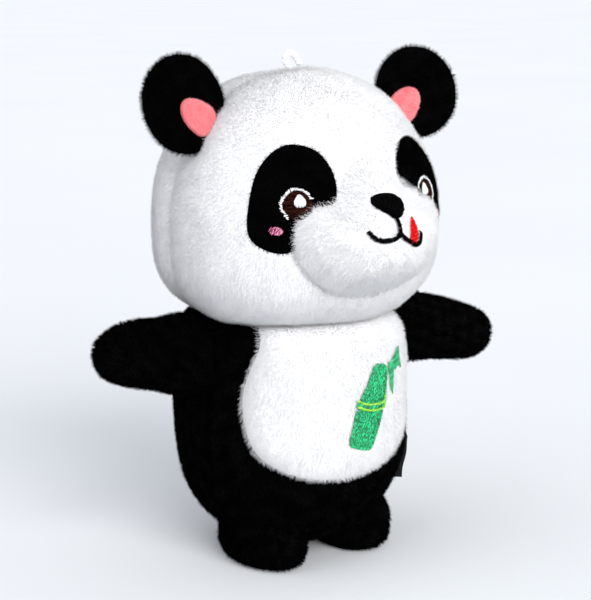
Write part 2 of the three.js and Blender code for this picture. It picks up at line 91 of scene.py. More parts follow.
class Slot(Enum):
    """Names of the record's material slots; each thread carries one, and the finishes themselves come from the
    finish classes.
    """

    WHITE_PLUSH = "white_plush"
    BLACK_PLUSH = "black_plush"
    PINK_VELOUR = "pink_velour"
    FILLING = "polyester_filling"
    BLACK_THREAD = "black_thread"
    BROWN_THREAD = "brown_thread"
    WHITE_THREAD = "white_thread"
    PINK_THREAD = "pink_thread"
    RED_THREAD = "red_thread"
    GREEN_THREAD = "green_thread"
    DARK_GREEN_THREAD = "dark_green_thread"
    LIME_THREAD = "lime_thread"
    LOOP_CORD = "loop_cord"
    LABEL_SATIN = "label_satin"


# ---- curves and fields ---------------------------------------------------------------------------
def unit(vectors: Array) -> Array:
    """Vectors brought to length one."""
    return vectors / np.maximum(np.linalg.norm(vectors, axis=-1, keepdims=True), 1e-12)


def evenly(line: Array, count: int) -> Array:
    """Points at even steps along a line.

    Args:
        line: the points of the line, in order.
        count: how many points to return, both ends among them.

    Returns:
        The evenly spaced points.
    """
    steps = np.linalg.norm(np.diff(line, axis=0), axis=1)
    run = np.concatenate([[0.0], np.cumsum(steps)])
    places = np.linspace(0.0, run[-1], count)
    return np.stack([np.interp(places, run, line[:, k]) for k in range(line.shape[1])], axis=1)


def blended_spans(before: Array, start: Array, end: Array, after: Array) -> Array:
    """The smooth curve pieces between start and end points that lean on their neighbours."""
    t = np.linspace(0.0, 1.0, 12, endpoint=False)[:, None, None]
    spans = 0.5 * (2 * start + (end - before) * t + (2 * before - 5 * start + 4 * end - after) * t**2
                   + (3 * start - before - 3 * end + after) * t**3)
    return spans.transpose(1, 0, 2).reshape(-1, start.shape[1])


def closed_curve(points: list, count: int) -> Array:
    """A smooth closed outline through a few points.

    Args:
        points: the points to pass through, in order.
        count: how many evenly spaced points to return.

    Returns:
        The outline, without its first point repeated.
    """
    knots = np.asarray(points, float)
    before, start, end, after = (np.roll(knots, k, axis=0) for k in (1, 0, -1, -2))
    dense = blended_spans(before, start, end, after)
    return evenly(np.vstack([dense, dense[:1]]), count + 1)[:-1]


def open_curve(points: list, count: int) -> Array:
    """A smooth open line through a few points, in count even steps."""
    knots = np.asarray(points, float)
    padded = np.vstack([2 * knots[0] - knots[1], knots, 2 * knots[-1] - knots[-2]])
    dense = blended_spans(padded[:-3], padded[1:-2], padded[2:-1], padded[3:])
    return evenly(np.vstack([dense, knots[-1:]]), count)


def mirrored(points: list, side: Side) -> list:
    """Points given for the panda's right side, put on the side asked for."""
    return [(-side.value * x, z) for x, z in points]


def inside_by(outline: Array, spots: Array) -> Array:
    """How far spots lie inside a closed outline; negative outside.

    Args:
        outline: the outline's points.
        spots: the points to test, in the same plane.

    Returns:
        One signed distance for each spot.
    """
    nearest = np.full(len(spots), np.inf)
    inside = np.zeros(len(spots), bool)
    for a, b in zip(outline, np.roll(outline, -1, axis=0)):
        edge = b - a
        share = np.clip((spots - a) @ edge / max(edge @ edge, 1e-12), 0.0, 1.0)
        nearest = np.minimum(nearest, np.linalg.norm(spots - a - share[:, None] * edge, axis=1))
        rises = (a[1] > spots[:, 1]) != (b[1] > spots[:, 1])
        crossing = a[0] + (spots[:, 1] - a[1]) * edge[0] / (edge[1] if abs(edge[1]) > 1e-12 else 1e-12)
        inside ^= rises & (spots[:, 0] < crossing)
    return np.where(inside, nearest, -nearest)


def from_line(line: Array, spots: Array) -> Array:
    """The distance of each spot from an open line."""
    nearest = np.full(len(spots), np.inf)
    for a, b in zip(line[:-1], line[1:]):
        edge = b - a
        share = np.clip((spots - a) @ edge / max(edge @ edge, 1e-12), 0.0, 1.0)
        nearest = np.minimum(nearest, np.linalg.norm(spots - a - share[:, None] * edge, axis=1))
    return nearest


def waves(spots: Array, size: float, seed: int) -> Array:
    """A smooth field from about -1 to 1 whose lumps are about size across.

    Args:
        spots: the points at which the field is read.
        size: the width of a lump.
        seed: picks one field of many.

    Returns:
        The field's value at each point.
    """
    rng = np.random.default_rng(seed)
    total = np.zeros(len(spots))
    for _ in range(7):
        way = unit(rng.normal(size=3)) * math.pi / size * rng.uniform(0.6, 1.5)
        total += np.sin(spots @ way + rng.uniform(0.0, 2.0 * math.pi))
    return total / 2.6


def smoothstep(low: float, high: float, values: Array) -> Array:
    """A soft step from 0 at low to 1 at high."""
    share = np.clip((values - low) / (high - low), 0.0, 1.0)
    return share * share * (3.0 - 2.0 * share)


def turned(points: Array, axis: str, degrees: float) -> Array:
    """Points turned about one of the main axes."""
    a = math.radians(degrees)
    c, s = math.cos(a), math.sin(a)
    tables = {
        "X": [[1, 0, 0], [0, c, -s], [0, s, c]],
        "Y": [[c, 0, s], [0, 1, 0], [-s, 0, c]],
        "Z": [[c, -s, 0], [s, c, 0], [0, 0, 1]],
    }
    return points @ np.array(tables[axis], float).T


# ---- meshes --------------------------------------------------------------------------------------
def take(piece: Object) -> Object:
    """Makes a piece the only one selected, and the active one."""
    bpy.ops.object.select_all(action="DESELECT")
    piece.select_set(True)
    bpy.context.view_layer.objects.active = piece
    return piece


def points_of(piece: Object) -> Array:
    """A piece's points, in millimetres."""
    flat = np.empty(len(piece.data.vertices) * 3)
    piece.data.vertices.foreach_get("co", flat)
    return flat.reshape(-1, 3) / MM


def place_points(piece: Object, points: Array) -> Object:
    """Moves a piece's points to places given in millimetres."""
    piece.data.vertices.foreach_set("co", (points * MM).astype(np.float32).ravel())
    piece.data.update()
    return piece


def normals_of(piece: Object) -> Array:
    """The smooth outward direction at each of a piece's points."""
    flat = np.empty(len(piece.data.vertices) * 3, np.float32)
    piece.data.vertex_normals.foreach_get("vector", flat)
    return flat.reshape(-1, 3).astype(float)


def new_piece(name: str, points: Array, faces: list) -> Object:
    """A piece made from points in millimetres and faces."""
    mesh = bpy.data.meshes.new(name)
    mesh.from_pydata((points * MM).tolist(), [], faces)
    mesh.update()
    piece = bpy.data.objects.new(name, mesh)
    bpy.context.scene.collection.objects.link(piece)
    return piece


def copy_of(piece: Object, name: str) -> Object:
    """A copy of a piece with its own mesh."""
    other = piece.copy()
    other.data = piece.data.copy()
    other.name = name
    other.data.name = name
    bpy.context.scene.collection.objects.link(other)
    return other


def drop(piece: Object) -> None:
    """Takes away a piece that only helped to shape others."""
    mesh = piece.data
    bpy.data.objects.remove(piece)
    bpy.data.meshes.remove(mesh)


def apply_modifier(piece: Object, kind: str, **settings: object) -> Object:
    """Adds a modifier with its settings and applies it at once.

    Args:
        piece: the piece to change.
        kind: the modifier's type.
        settings: its settings by name.

    Returns:
        The changed piece.
    """
    take(piece)
    modifier = piece.modifiers.new(kind.title(), kind)
    for key, value in settings.items():
        setattr(modifier, key, value)
    bpy.ops.object.modifier_apply(modifier=modifier.name)
    return piece


def ball(name: str, level: int) -> Object:
    """A finely divided ball of radius one metre, ready to be shaped."""
    bpy.ops.object.select_all(action="DESELECT")
    bpy.ops.mesh.primitive_ico_sphere_add(subdivisions=level, radius=1.0)
    piece = bpy.context.object
    piece.name = name
    piece.data.name = name
    return piece


def bisected(form: Object, name: str, planes: list) -> Object:
    """A copy of a form with all that lies beyond each plane cut away.

    Args:
        form: the whole form.
        name: the new piece's name.
        planes: pairs of a point on the plane, in millimetres, and the direction that is cut away.

    Returns:
        The part that is left, open at the cuts.
    """
    piece = take(copy_of(form, name))
    bpy.ops.object.mode_set(mode="EDIT")
    for point, away in planes:
        bpy.ops.mesh.select_all(action="SELECT")
        bpy.ops.mesh.bisect(
            plane_co=[k * MM for k in point], plane_no=away, clear_outer=True, use_fill=False)
    bpy.ops.object.mode_set(mode="OBJECT")
    return piece


def ringed_disc(name: str, around: int, rings: int) -> Object:
    """A flat disc of radius one metre in the X-Y plane, made of even rings drawn in to its middle.

    Args:
        name: the piece's name.
        around: points in each ring.
        rings: how many rings.

    Returns:
        The disc.
    """
    bpy.ops.object.select_all(action="DESELECT")
    bpy.ops.mesh.primitive_circle_add(vertices=around, radius=1.0, fill_type="NOTHING")
    piece = bpy.context.object
    piece.name = name
    piece.data.name = name
    bpy.ops.object.mode_set(mode="EDIT")
    bpy.ops.mesh.select_all(action="SELECT")
    for ring in range(rings, 1, -1):
        bpy.ops.mesh.extrude_region_move()
        bpy.ops.transform.resize(value=((ring - 1) / ring,) * 3, center_override=(0.0, 0.0, 0.0))
    bpy.ops.mesh.extrude_region_move()
    bpy.ops.mesh.merge(type="CENTER")
    bpy.ops.object.mode_set(mode="OBJECT")
    return piece


def facing(piece: Object, way: Array) -> Object:
    """Turns an open piece's faces over where they look away from a direction."""
    normals = np.array([p.normal for p in piece.data.polygons])
    if (normals @ way).sum() < 0:
        piece.data.flip_normals()
    return piece


def smooth(piece: Object) -> Object:
    """Shades a piece smoothly."""
    piece.data.polygons.foreach_set("use_smooth", np.ones(len(piece.data.polygons), bool))
    return piece


def thickened(piece: Object, cloth: float) -> Object:
    """Gives a skin the thickness of its cloth, on the inside."""
    return smooth(apply_modifier(piece, "SOLIDIFY", thickness=cloth * MM, offset=-1.0))


def tube(line: Array, radius: float, sides: int = 8) -> tuple[Array, list]:
    """The points and faces of a round closed tube along a line.

    Args:
        line: the middle of the tube, in millimetres.
        radius: its radius.
        sides: how many points in each ring.

    Returns:
        The tube's points and its faces.
    """
    along = unit(np.gradient(line, axis=0))
    side = unit(np.cross(along, np.array([0.03, 1.0, 0.02])))
    over = np.cross(side, along)
    angles = np.linspace(0.0, 2.0 * math.pi, sides, endpoint=False)
    ring = side[:, None] * np.cos(angles)[:, None] + over[:, None] * np.sin(angles)[:, None]
    taper = np.ones(len(line))
    taper[0] = taper[-1] = 0.6
    points = (line[:, None] + ring * radius * taper[:, None, None]).reshape(-1, 3)
    faces = [tuple(range(sides))[::-1], tuple((len(line) - 1) * sides + k for k in range(sides))]
    for j in range(len(line) - 1):
        for k in range(sides):
            a, b = j * sides + k, j * sides + (k + 1) % sides
            faces.append((a, b, b + sides, a + sides))
    return points, faces


@dataclass(frozen=True)
class Egg:
    """A round body with its own fullness above and below its widest level."""

    x: float
    y: float
    z: float
    rx: float
    ry: float
    up: float
    down: float
    up_power: float
    down_power: float

    def shaped(self, ways: Array) -> Array:
        """The surface points met along directions of a unit ball."""
        low = ways[:, 2] < 0
        power = np.where(low, self.down_power, self.up_power)
        height = np.where(low, self.down, self.up)
        ring = np.hypot(ways[:, 0], ways[:, 1])
        reach = (ring**power + np.abs(ways[:, 2]) ** power) ** (-1.0 / power)
        spread = np.stack([np.full(len(ways), self.rx), np.full(len(ways), self.ry), height], axis=1)
        return np.array([self.x, self.y, self.z]) + ways * reach[:, None] * spread

    def shrunk(self, inset: float) -> "Egg":
        """The same egg, smaller all round."""
        return Egg(self.x, self.y, self.z, self.rx - inset, self.ry - inset, self.up - inset,
                   self.down - inset, self.up_power, self.down_power)

    def form(self, name: str, level: int = MEDIUM) -> Object:
        """A closed mesh of the egg."""
        piece = ball(name, level)
        return place_points(piece, self.shaped(unit(points_of(piece))))


class Ground:
    """A surface that patches and stitches are laid on."""

    def __init__(self, piece: Object) -> None:
        """Keeps a copy of the piece's surface, in millimetres."""
        self.normals = normals_of(piece)
        self.points = points_of(piece)
        self.faces = [tuple(p.vertices) for p in piece.data.polygons]
        self.tree = BVHTree.FromPolygons([Vector(p) for p in self.points], self.faces)

    def lay(self, spots: Array, behind: bool = False) -> tuple[Array, Array]:
        """Drops spots on the surface from the front, or from behind.

        Args:
            spots: rows of x and z.
            behind: meets the surface from +Y.

        Returns:
            The places on the surface and the outward directions there.
        """
        sign = 1.0 if behind else -1.0
        places, ways = np.empty((len(spots), 3)), np.empty((len(spots), 3))
        for k, (x, z) in enumerate(spots):
            hit, normal, face, _ = self.tree.ray_cast(Vector((x, sign * 300.0, z)), Vector((0.0, -sign, 0.0)))
            if hit is None:
                hit, normal, face, _ = self.tree.find_nearest(Vector((x, sign * 4.0, z)))
            corners = list(self.faces[face])
            gaps = np.linalg.norm(self.points[corners] - np.array(hit), axis=1)
            places[k] = hit
            ways[k] = (self.normals[corners] / (gaps[:, None] + 0.05)).sum(axis=0)
        return places, unit(ways)


def laid_patch(name: str, outline: Array, middle: tuple, ground: Ground,
               lift: Callable[[Array, Array], Array], rings: int = 12,
               along: Optional[Array] = None) -> Object:
    """A patch of cloth whose rim is an outline seen from the front, laid on a surface.

    Args:
        name: the piece's name.
        outline: the rim, rows of x and z.
        middle: the x and z that the rings close on.
        ground: the surface underneath.
        lift: how far the patch stands off, from the share of the way to the rim and the spot.
        rings: how many rings of faces.
        along: one direction to lift in; the surface's own outward direction if left out.

    Returns:
        The open patch, facing forwards.
    """
    disc = ringed_disc(name, len(outline), rings)
    flat = points_of(disc) * MM
    share = np.hypot(flat[:, 0], flat[:, 1])
    index = np.round(np.arctan2(flat[:, 1], flat[:, 0]) / (2 * math.pi) * len(outline)).astype(int)
    share = np.sin(np.clip(share, 0.0, 1.0) * math.pi / 2)
    spots = np.array(middle) + share[:, None] * (outline[index % len(outline)] - np.array(middle))
    places, ways = ground.lay(spots)
    if along is not None:
        ways = np.broadcast_to(along, ways.shape)
    place_points(disc, places + ways * lift(share, spots)[:, None])
    return facing(disc, FRONT)


# ---- finishes ------------------------------------------------------------------------------------
class Dye:
    """A material with its shader, and a short way to add and join nodes."""

    def __init__(self, name: str) -> None:
        """Starts an empty material with a Principled shader."""
        self.material = bpy.data.materials.new(name)
        self.material.use_nodes = True
        self.tree = self.material.node_tree
        self.shader = self.tree.nodes["Principled BSDF"]

    def set(self, **sockets: object) -> None:
        """Sets constants on the shader's own sockets; underscores stand for spaces."""
        for key, value in sockets.items():
            self.shader.inputs[key.replace("_", " ")].default_value = value

    def add(self, kind: str, **inputs: object) -> bpy.types.Node:
        """Adds a node with some of its inputs set, or joined where the value is a socket."""
        node = self.tree.nodes.new("ShaderNode" + kind)
        for key, value in inputs.items():
            socket = node.inputs[key.replace("_", " ")]
            if isinstance(value, bpy.types.NodeSocket):
                self.tree.links.new(value, socket)
            else:
                socket.default_value = value
        return node

    def place(self) -> bpy.types.NodeSocket:
        """The place on the object, as a pattern reads it."""
        return self.add("TexCoord").outputs["Object"]

    def noise(self, scale: float, detail: float = 3.0) -> bpy.types.NodeSocket:
        """A cloudy pattern with lumps of one over scale metres."""
        return self.add("TexNoise", Vector=self.place(), Scale=scale, Detail=detail).outputs["Fac"]

    def ramp(self, value: bpy.types.NodeSocket, stops: list) -> bpy.types.NodeSocket:
        """Turns a value into colours at given stops."""
        node = self.add("ValToRGB", Fac=value)
        ramp = node.color_ramp
        while len(ramp.elements) < len(stops):
            ramp.elements.new(0.5)
        for element, (place, colour) in zip(ramp.elements, stops):
            element.position = place
            element.color = (*colour, 1.0)
        return node.outputs["Color"]

    def paint(self, colour: bpy.types.NodeSocket) -> None:
        """Joins a colour to the shader."""
        self.tree.links.new(colour, self.shader.inputs["Base Color"])

    def emboss(self, height: bpy.types.NodeSocket, depth: float, strength: float = 1.0) -> None:
        """Joins a bump of so many millimetres to the shader."""
        bump = self.add("Bump", Height=height, Strength=strength, Distance=depth * MM)
        self.tree.links.new(bump.outputs["Normal"], self.shader.inputs["Normal"])

    def matte(self, value: bpy.types.NodeSocket, low: float, high: float) -> None:
        """Joins a roughness that runs from low to high with a pattern."""
        node = self.add("MapRange", Value=value)
        node.inputs["To Min"].default_value = low
        node.inputs["To Max"].default_value = high
        self.tree.links.new(node.outputs["Result"], self.shader.inputs["Roughness"])


@dataclass(frozen=True)
class ClothFinish:
    """The knitted ground of a plush, seen between the hairs."""

    name: str
    light: tuple
    dark: tuple
    knit: float = 0.45
    sheen: float = 0.3

    def material(self) -> bpy.types.Material:
        """Builds the cloth: cloudy dye, fine loops and a soft sheen."""
        dye = Dye(self.name)
        gloss = 0.15 * min(1.0, self.sheen * 4)
        dye.set(Sheen_Weight=self.sheen, Sheen_Roughness=0.6, Specular_IOR_Level=gloss)
        cloud = dye.noise(160.0)
        dye.paint(dye.ramp(cloud, [(0.3, self.dark), (0.7, self.light)]))
        loops = dye.add("TexVoronoi", Vector=dye.place(), Scale=1.0 / (self.knit * MM)).outputs["Distance"]
        dye.matte(cloud, 0.85, 1.0)
        dye.emboss(loops, 0.15)
        return dye.material


@dataclass(frozen=True)
class PileFinish:
    """The hairs of a plush: a few close tones, one for each hair."""

    name: str
    tones: tuple
    roughness: float = 0.85
    sheen: float = 0.25
    specular: float = 0.2

    def materials(self) -> list:
        """Builds one material for each tone of hair."""
        made = []
        for number, tone in enumerate(self.tones):
            dye = Dye(f"{self.name}_{number + 1}")
            dye.set(Base_Color=(*tone, 1.0), Roughness=self.roughness, Sheen_Weight=self.sheen,
                    Sheen_Roughness=0.5, Specular_IOR_Level=self.specular)
            made.append(dye.material)
        return made


@dataclass(frozen=True)
class ThreadFinish:
    """Rayon embroidery thread; each stitch carries its own painted lightness, standing in for the glints and
    shade of light on rayon stitches.
    """

    name: str
    light: tuple
    dark: tuple
    roughness: float = 0.38
    specular: float = 0.5
    sheen: float = 0.1

    def material(self) -> bpy.types.Material:
        """Builds the thread: a painted lightness for each stitch as painted glint and shade, a faint random
        mottle, a fine twist and a silky gloss.
        """
        dye = Dye(self.name)
        dye.set(Specular_IOR_Level=self.specular, Sheen_Weight=self.sheen)
        # Each stitch's tone is painted light: higher tones are painted glints, lower ones painted shade.
        tone = dye.add("Attribute")
        tone.attribute_name = "tone"
        mottle = dye.noise(2600.0, 2.0)
        mixed = dye.add("Math")
        mixed.operation = "MULTIPLY_ADD"
        dye.tree.links.new(mottle, mixed.inputs[0])
        mixed.inputs[1].default_value = 0.4
        dye.tree.links.new(tone.outputs["Fac"], mixed.inputs[2])
        dye.paint(dye.ramp(mixed.outputs[0], [(0.1, self.dark), (1.1, self.light)]))
        dye.matte(mottle, self.roughness - 0.08, self.roughness + 0.12)
        dye.emboss(mottle, 0.06)
        return dye.material


@dataclass(frozen=True)
class FillingFinish:
    """Loose polyester stuffing."""

    name: str = "polyester_filling_fluff"

    def material(self) -> bpy.types.Material:
        """Builds the fluff: near white, wispy and dull."""
        dye = Dye(self.name)
        dye.set(Sheen_Weight=0.4, Specular_IOR_Level=0.2)
        wisps = dye.noise(420.0, 6.0)
        dye.paint(dye.ramp(wisps, [(0.3, (0.78, 0.79, 0.8)), (0.7, (0.93, 0.93, 0.93))]))
        dye.matte(wisps, 0.9, 1.0)
        dye.emboss(wisps, 1.2)
        return dye.material


@dataclass(frozen=True)
class SatinFinish:
    """Woven satin ribbon or smooth cord: fine ribs and a soft gloss."""

    name: str
    light: tuple
    dark: tuple
    ribs: float = 0.25
    roughness: float = 0.3
    specular: float = 0.6
    sheen: float = 0.2

    def material(self) -> bpy.types.Material:
        """Builds the satin: close ribs across, faint slubs and a bright sheen."""
        dye = Dye(self.name)
        dye.set(Sheen_Weight=self.sheen, Specular_IOR_Level=self.specular)
        ribs = dye.add("TexWave", Vector=dye.place(), Scale=0.32 / (self.ribs * MM), Distortion=0.6)
        ribs.bands_direction = "Z"
        slub = dye.noise(700.0)
        dye.paint(dye.ramp(slub, [(0.3, self.dark), (0.7, self.light)]))
        dye.matte(slub, self.roughness, self.roughness + 0.15)
        dye.emboss(ribs.outputs["Fac"], 0.05, 0.6)
        return dye.material


WHITE_CLOTH = ClothFinish("white_plush_ground", (0.95, 0.95, 0.96), (0.88, 0.88, 0.91))
BLACK_CLOTH = ClothFinish("black_plush_ground", (0.0014, 0.0014, 0.0016), (0.0006, 0.0006, 0.0007), sheen=0.0)
PINK_CLOTH = ClothFinish("pink_velour_ground", (0.86, 0.22, 0.23), (0.7, 0.13, 0.15))
WHITE_HAIR = PileFinish(
    "white_plush_hair", ((0.9, 0.9, 0.925), (0.94, 0.94, 0.952), (0.965, 0.965, 0.968)),
    sheen=0.1, specular=0.04)
BLACK_HAIR = PileFinish(
    "black_plush_hair", ((0.0009, 0.0009, 0.001), (0.0018, 0.0018, 0.002), (0.0038, 0.0038, 0.0043)),
    roughness=0.95, sheen=0.0, specular=0.0)
PINK_HAIR = PileFinish(
    "pink_velour_hair", ((0.62, 0.1, 0.12), (0.84, 0.2, 0.23), (0.95, 0.36, 0.38)), sheen=0.1, specular=0.05)

BLACK_SILK = ThreadFinish(
    "black_thread_silk", (0.0022, 0.0022, 0.0026), (0.0004, 0.0004, 0.0005), 0.7, 0.02, 0.0)
SEAM_BLACK = ThreadFinish("black_seam_thread", (0.03, 0.03, 0.034), (0.01, 0.01, 0.012), sheen=0.0)
RED_SILK = ThreadFinish("red_thread_silk", (0.7, 0.001, 0.002), (0.5, 0.0, 0.001), 0.5, 0.08, 0.0)
BROWN_SILK = ThreadFinish(
    "brown_thread_silk", (0.036, 0.008, 0.004), (0.002, 0.0006, 0.0005), 0.6, 0.04, 0.0)
WHITE_SILK = ThreadFinish("white_thread_silk", (0.9, 0.9, 0.9), (0.72, 0.72, 0.75))
PINK_SILK = ThreadFinish("pink_thread_silk", (0.85, 0.28, 0.48), (0.4, 0.06, 0.16), 0.45, 0.3)
LEAF_SILK = ThreadFinish("green_thread_silk", (0.015, 0.66, 0.25), (0.001, 0.13, 0.042), 0.36, 0.4)
DARK_SILK = ThreadFinish("dark_green_thread_silk", (0.01, 0.5, 0.18), (0.001, 0.12, 0.04), 0.4, 0.3)
LIME_SILK = ThreadFinish("lime_thread_silk", (0.4, 0.8, 0.06), (0.08, 0.42, 0.03), 0.4, 0.35)
CORD_GLOSS = SatinFinish("white_cord_gloss", (0.93, 0.93, 0.93), (0.84, 0.84, 0.86), 0.3, 0.45)
LABEL_SATIN = SatinFinish(
    "black_label_satin", (0.006, 0.006, 0.007), (0.002, 0.002, 0.0025), 0.25, 0.45, 0.1, 0.0)


# ---- pile ----------------------------------------------------------------------------------------
@dataclass(frozen=True)
class Pile:
    """A cut pile: short tapered hairs that stand on a cloth and lean the way it is brushed."""

    finish: PileFinish
    length: float = 1.4
    width: float = 0.2
    density: float = 7.0
    lean: float = 42.0
    ruffle: float = 6.0
    swirl: float = 14.0

    def roots(self, cloth: Object, rng: np.random.Generator) -> tuple[Array, Array]:
        """Scatters roots evenly over a cloth.

        Args:
            cloth: the open skin that carries the hairs, its faces outwards.
            rng: the seeded source of the draws.

        Returns:
            The root points and the outward directions there.
        """
        cloth.data.calc_loop_triangles()
        corners = np.empty(len(cloth.data.loop_triangles) * 3, np.int32)
        cloth.data.loop_triangles.foreach_get("vertices", corners)
        corners = corners.reshape(-1, 3)
        points, normals = points_of(cloth), normals_of(cloth)
        a, b, c = (points[corners[:, k]] for k in range(3))
        run = np.cumsum(np.linalg.norm(np.cross(b - a, c - a), axis=1) / 2.0)
        count = int(run[-1] * self.density)
        picks = np.searchsorted(run, (np.arange(count) + rng.random(count)) / count * run[-1])
        picks = np.minimum(picks, len(run) - 1)
        u, v = rng.random(count), rng.random(count)
        fold = u + v > 1.0
        u, v = np.where(fold, 1.0 - u, u), np.where(fold, 1.0 - v, v)
        shares = np.stack([1.0 - u - v, u, v], axis=1)[:, :, None]
        chosen = corners[picks]
        return (points[chosen] * shares).sum(axis=1), unit((normals[chosen] * shares).sum(axis=1))

    def grow(self, name: str, cloth: Object, brushed: Field, seed: int, trim: Optional[Field] = None,
             floor: Optional[float] = None) -> Object:
        """Grows the hairs of one panel.

        Args:
            name: the pile's name.
            cloth: the panel's open skin.
            brushed: the direction of brushing at given places.
            seed: picks the panel's own scatter.
            trim: the share of full length at given places; none grow where it is near nothing.
            floor: no hair goes below this height.

        Returns:
            The pile, one closed spike for each hair.
        """
        rng = np.random.default_rng(seed)
        roots, out = self.roots(cloth, rng)
        kept = np.ones(len(roots)) if trim is None else trim(roots)
        alive = kept > SHORTEST
        roots, out, kept = roots[alive], out[alive], kept[alive]
        count = len(roots)
        along = brushed(roots)
        along = unit(along - out * (along * out).sum(axis=1, keepdims=True))
        across = np.cross(out, along)
        swirl = np.radians(self.swirl) * waves(roots, 9.0, seed + 1) + rng.normal(0.0, 0.5, count)
        along = along * np.cos(swirl)[:, None] + across * np.sin(swirl)[:, None]
        lean = np.radians(self.lean + self.ruffle * waves(roots, 4.0, seed + 2)
                          + self.ruffle * 0.7 * waves(roots, 1.3, seed + 3)) + rng.normal(0.0, 0.22, count)
        axis = out * np.cos(lean)[:, None] + along * np.sin(lean)[:, None]
        length = self.length * kept * rng.uniform(0.72, 1.12, count) * (1 + 0.1 * waves(roots, 3.0, seed + 4))
        tips = roots + axis * length[:, None]
        base = roots - out * ROOT_DEPTH
        if floor is not None:
            tips[:, 2] = np.maximum(tips[:, 2], floor)
            base[:, 2] = np.maximum(base[:, 2], floor)
        wide = unit(np.cross(axis, unit(rng.normal(size=(count, 3)))))
        deep = np.cross(axis, wide)
        radius = self.width / 2.0 * rng.uniform(0.8, 1.25, count)[:, None]
        corners = [base + (wide * math.cos(a) + deep * math.sin(a)) * radius
                   for a in (0.0, 2.0 * math.pi / 3.0, 4.0 * math.pi / 3.0)]
        points = np.stack([*corners, tips], axis=1).reshape(-1, 3)
        if floor is not None:
            points[:, 2] = np.maximum(points[:, 2], floor)
        pattern = np.array([[0, 1, 3], [1, 2, 3], [2, 0, 3], [2, 1, 0]])
        faces = (np.arange(count)[:, None, None] * 4 + pattern[None]).reshape(-1, 3)
        piece = smooth(self.woven(name, points, faces))
        bent = np.stack([out + 0.35 * unit(corner - base) for corner in corners] + [out + 0.2 * axis], axis=1)
        bent = unit(bent + rng.normal(0.0, 0.1, (count, 1, 3))).reshape(-1, 3)
        piece.data.normals_split_custom_set_from_vertices(bent.astype(np.float32))
        mottle = waves(roots, 2.6, seed + 5) + rng.normal(0.0, 0.7, count)
        tones = np.array([0, 1, 2])[np.searchsorted([-0.45, 0.45], mottle)]
        piece.data.polygons.foreach_set("material_index", np.repeat(tones, 4).astype(np.int32))
        for material in finished(self.finish):
            piece.data.materials.append(material)
        return piece

    def woven(self, name: str, points: Array, faces: Array) -> Object:
        """Makes a mesh of many triangles at once, which is quicker than face by face."""
        mesh = bpy.data.meshes.new(name)
        mesh.vertices.add(len(points))
        mesh.vertices.foreach_set("co", (points * MM).astype(np.float32).ravel())
        mesh.loops.add(len(faces) * 3)
        mesh.loops.foreach_set("vertex_index", faces.astype(np.int32).ravel())
        mesh.polygons.add(len(faces))
        mesh.polygons.foreach_set("loop_start", np.arange(0, len(faces) * 3, 3, dtype=np.int32))
        mesh.update(calc_edges=True)
        piece = bpy.data.objects.new(name, mesh)
        bpy.context.scene.collection.objects.link(piece)
        return piece


_made: dict = {}


def finished(finish: object) -> list:
    """The materials of a finish, built once and shared."""
    if finish.name not in _made:
        _made[finish.name] = finish.materials() if isinstance(finish, PileFinish) else [finish.material()]
    return _made[finish.name]


def dress(piece: Object, finish: object) -> Object:
    """Gives a piece its finish."""
    if not piece.data.materials:
        for material in finished(finish):
            piece.data.materials.append(material)
    return piece


def downwards(places: Array) -> Array:
    """Brushed down, as most of the plush lies."""
    return np.broadcast_to(np.array([0.0, 0.0, -1.0]), places.shape).copy()


def report(piece: Object) -> Object:
    """Says that a piece is done, and how large its mesh is."""
    log.info("%-28s %7d faces", piece.name, len(piece.data.polygons))
    return piece


# ---- embroidery ----------------------------------------------------------------------------------
def toned(piece: Object, tones: Array) -> None:
    """Writes the tone at each point, which a thread's finish reads as painted glint and shade."""
    layer = piece.data.attributes.new("tone", "FLOAT", "POINT")
    layer.data.foreach_set("value", tones.astype(np.float32))


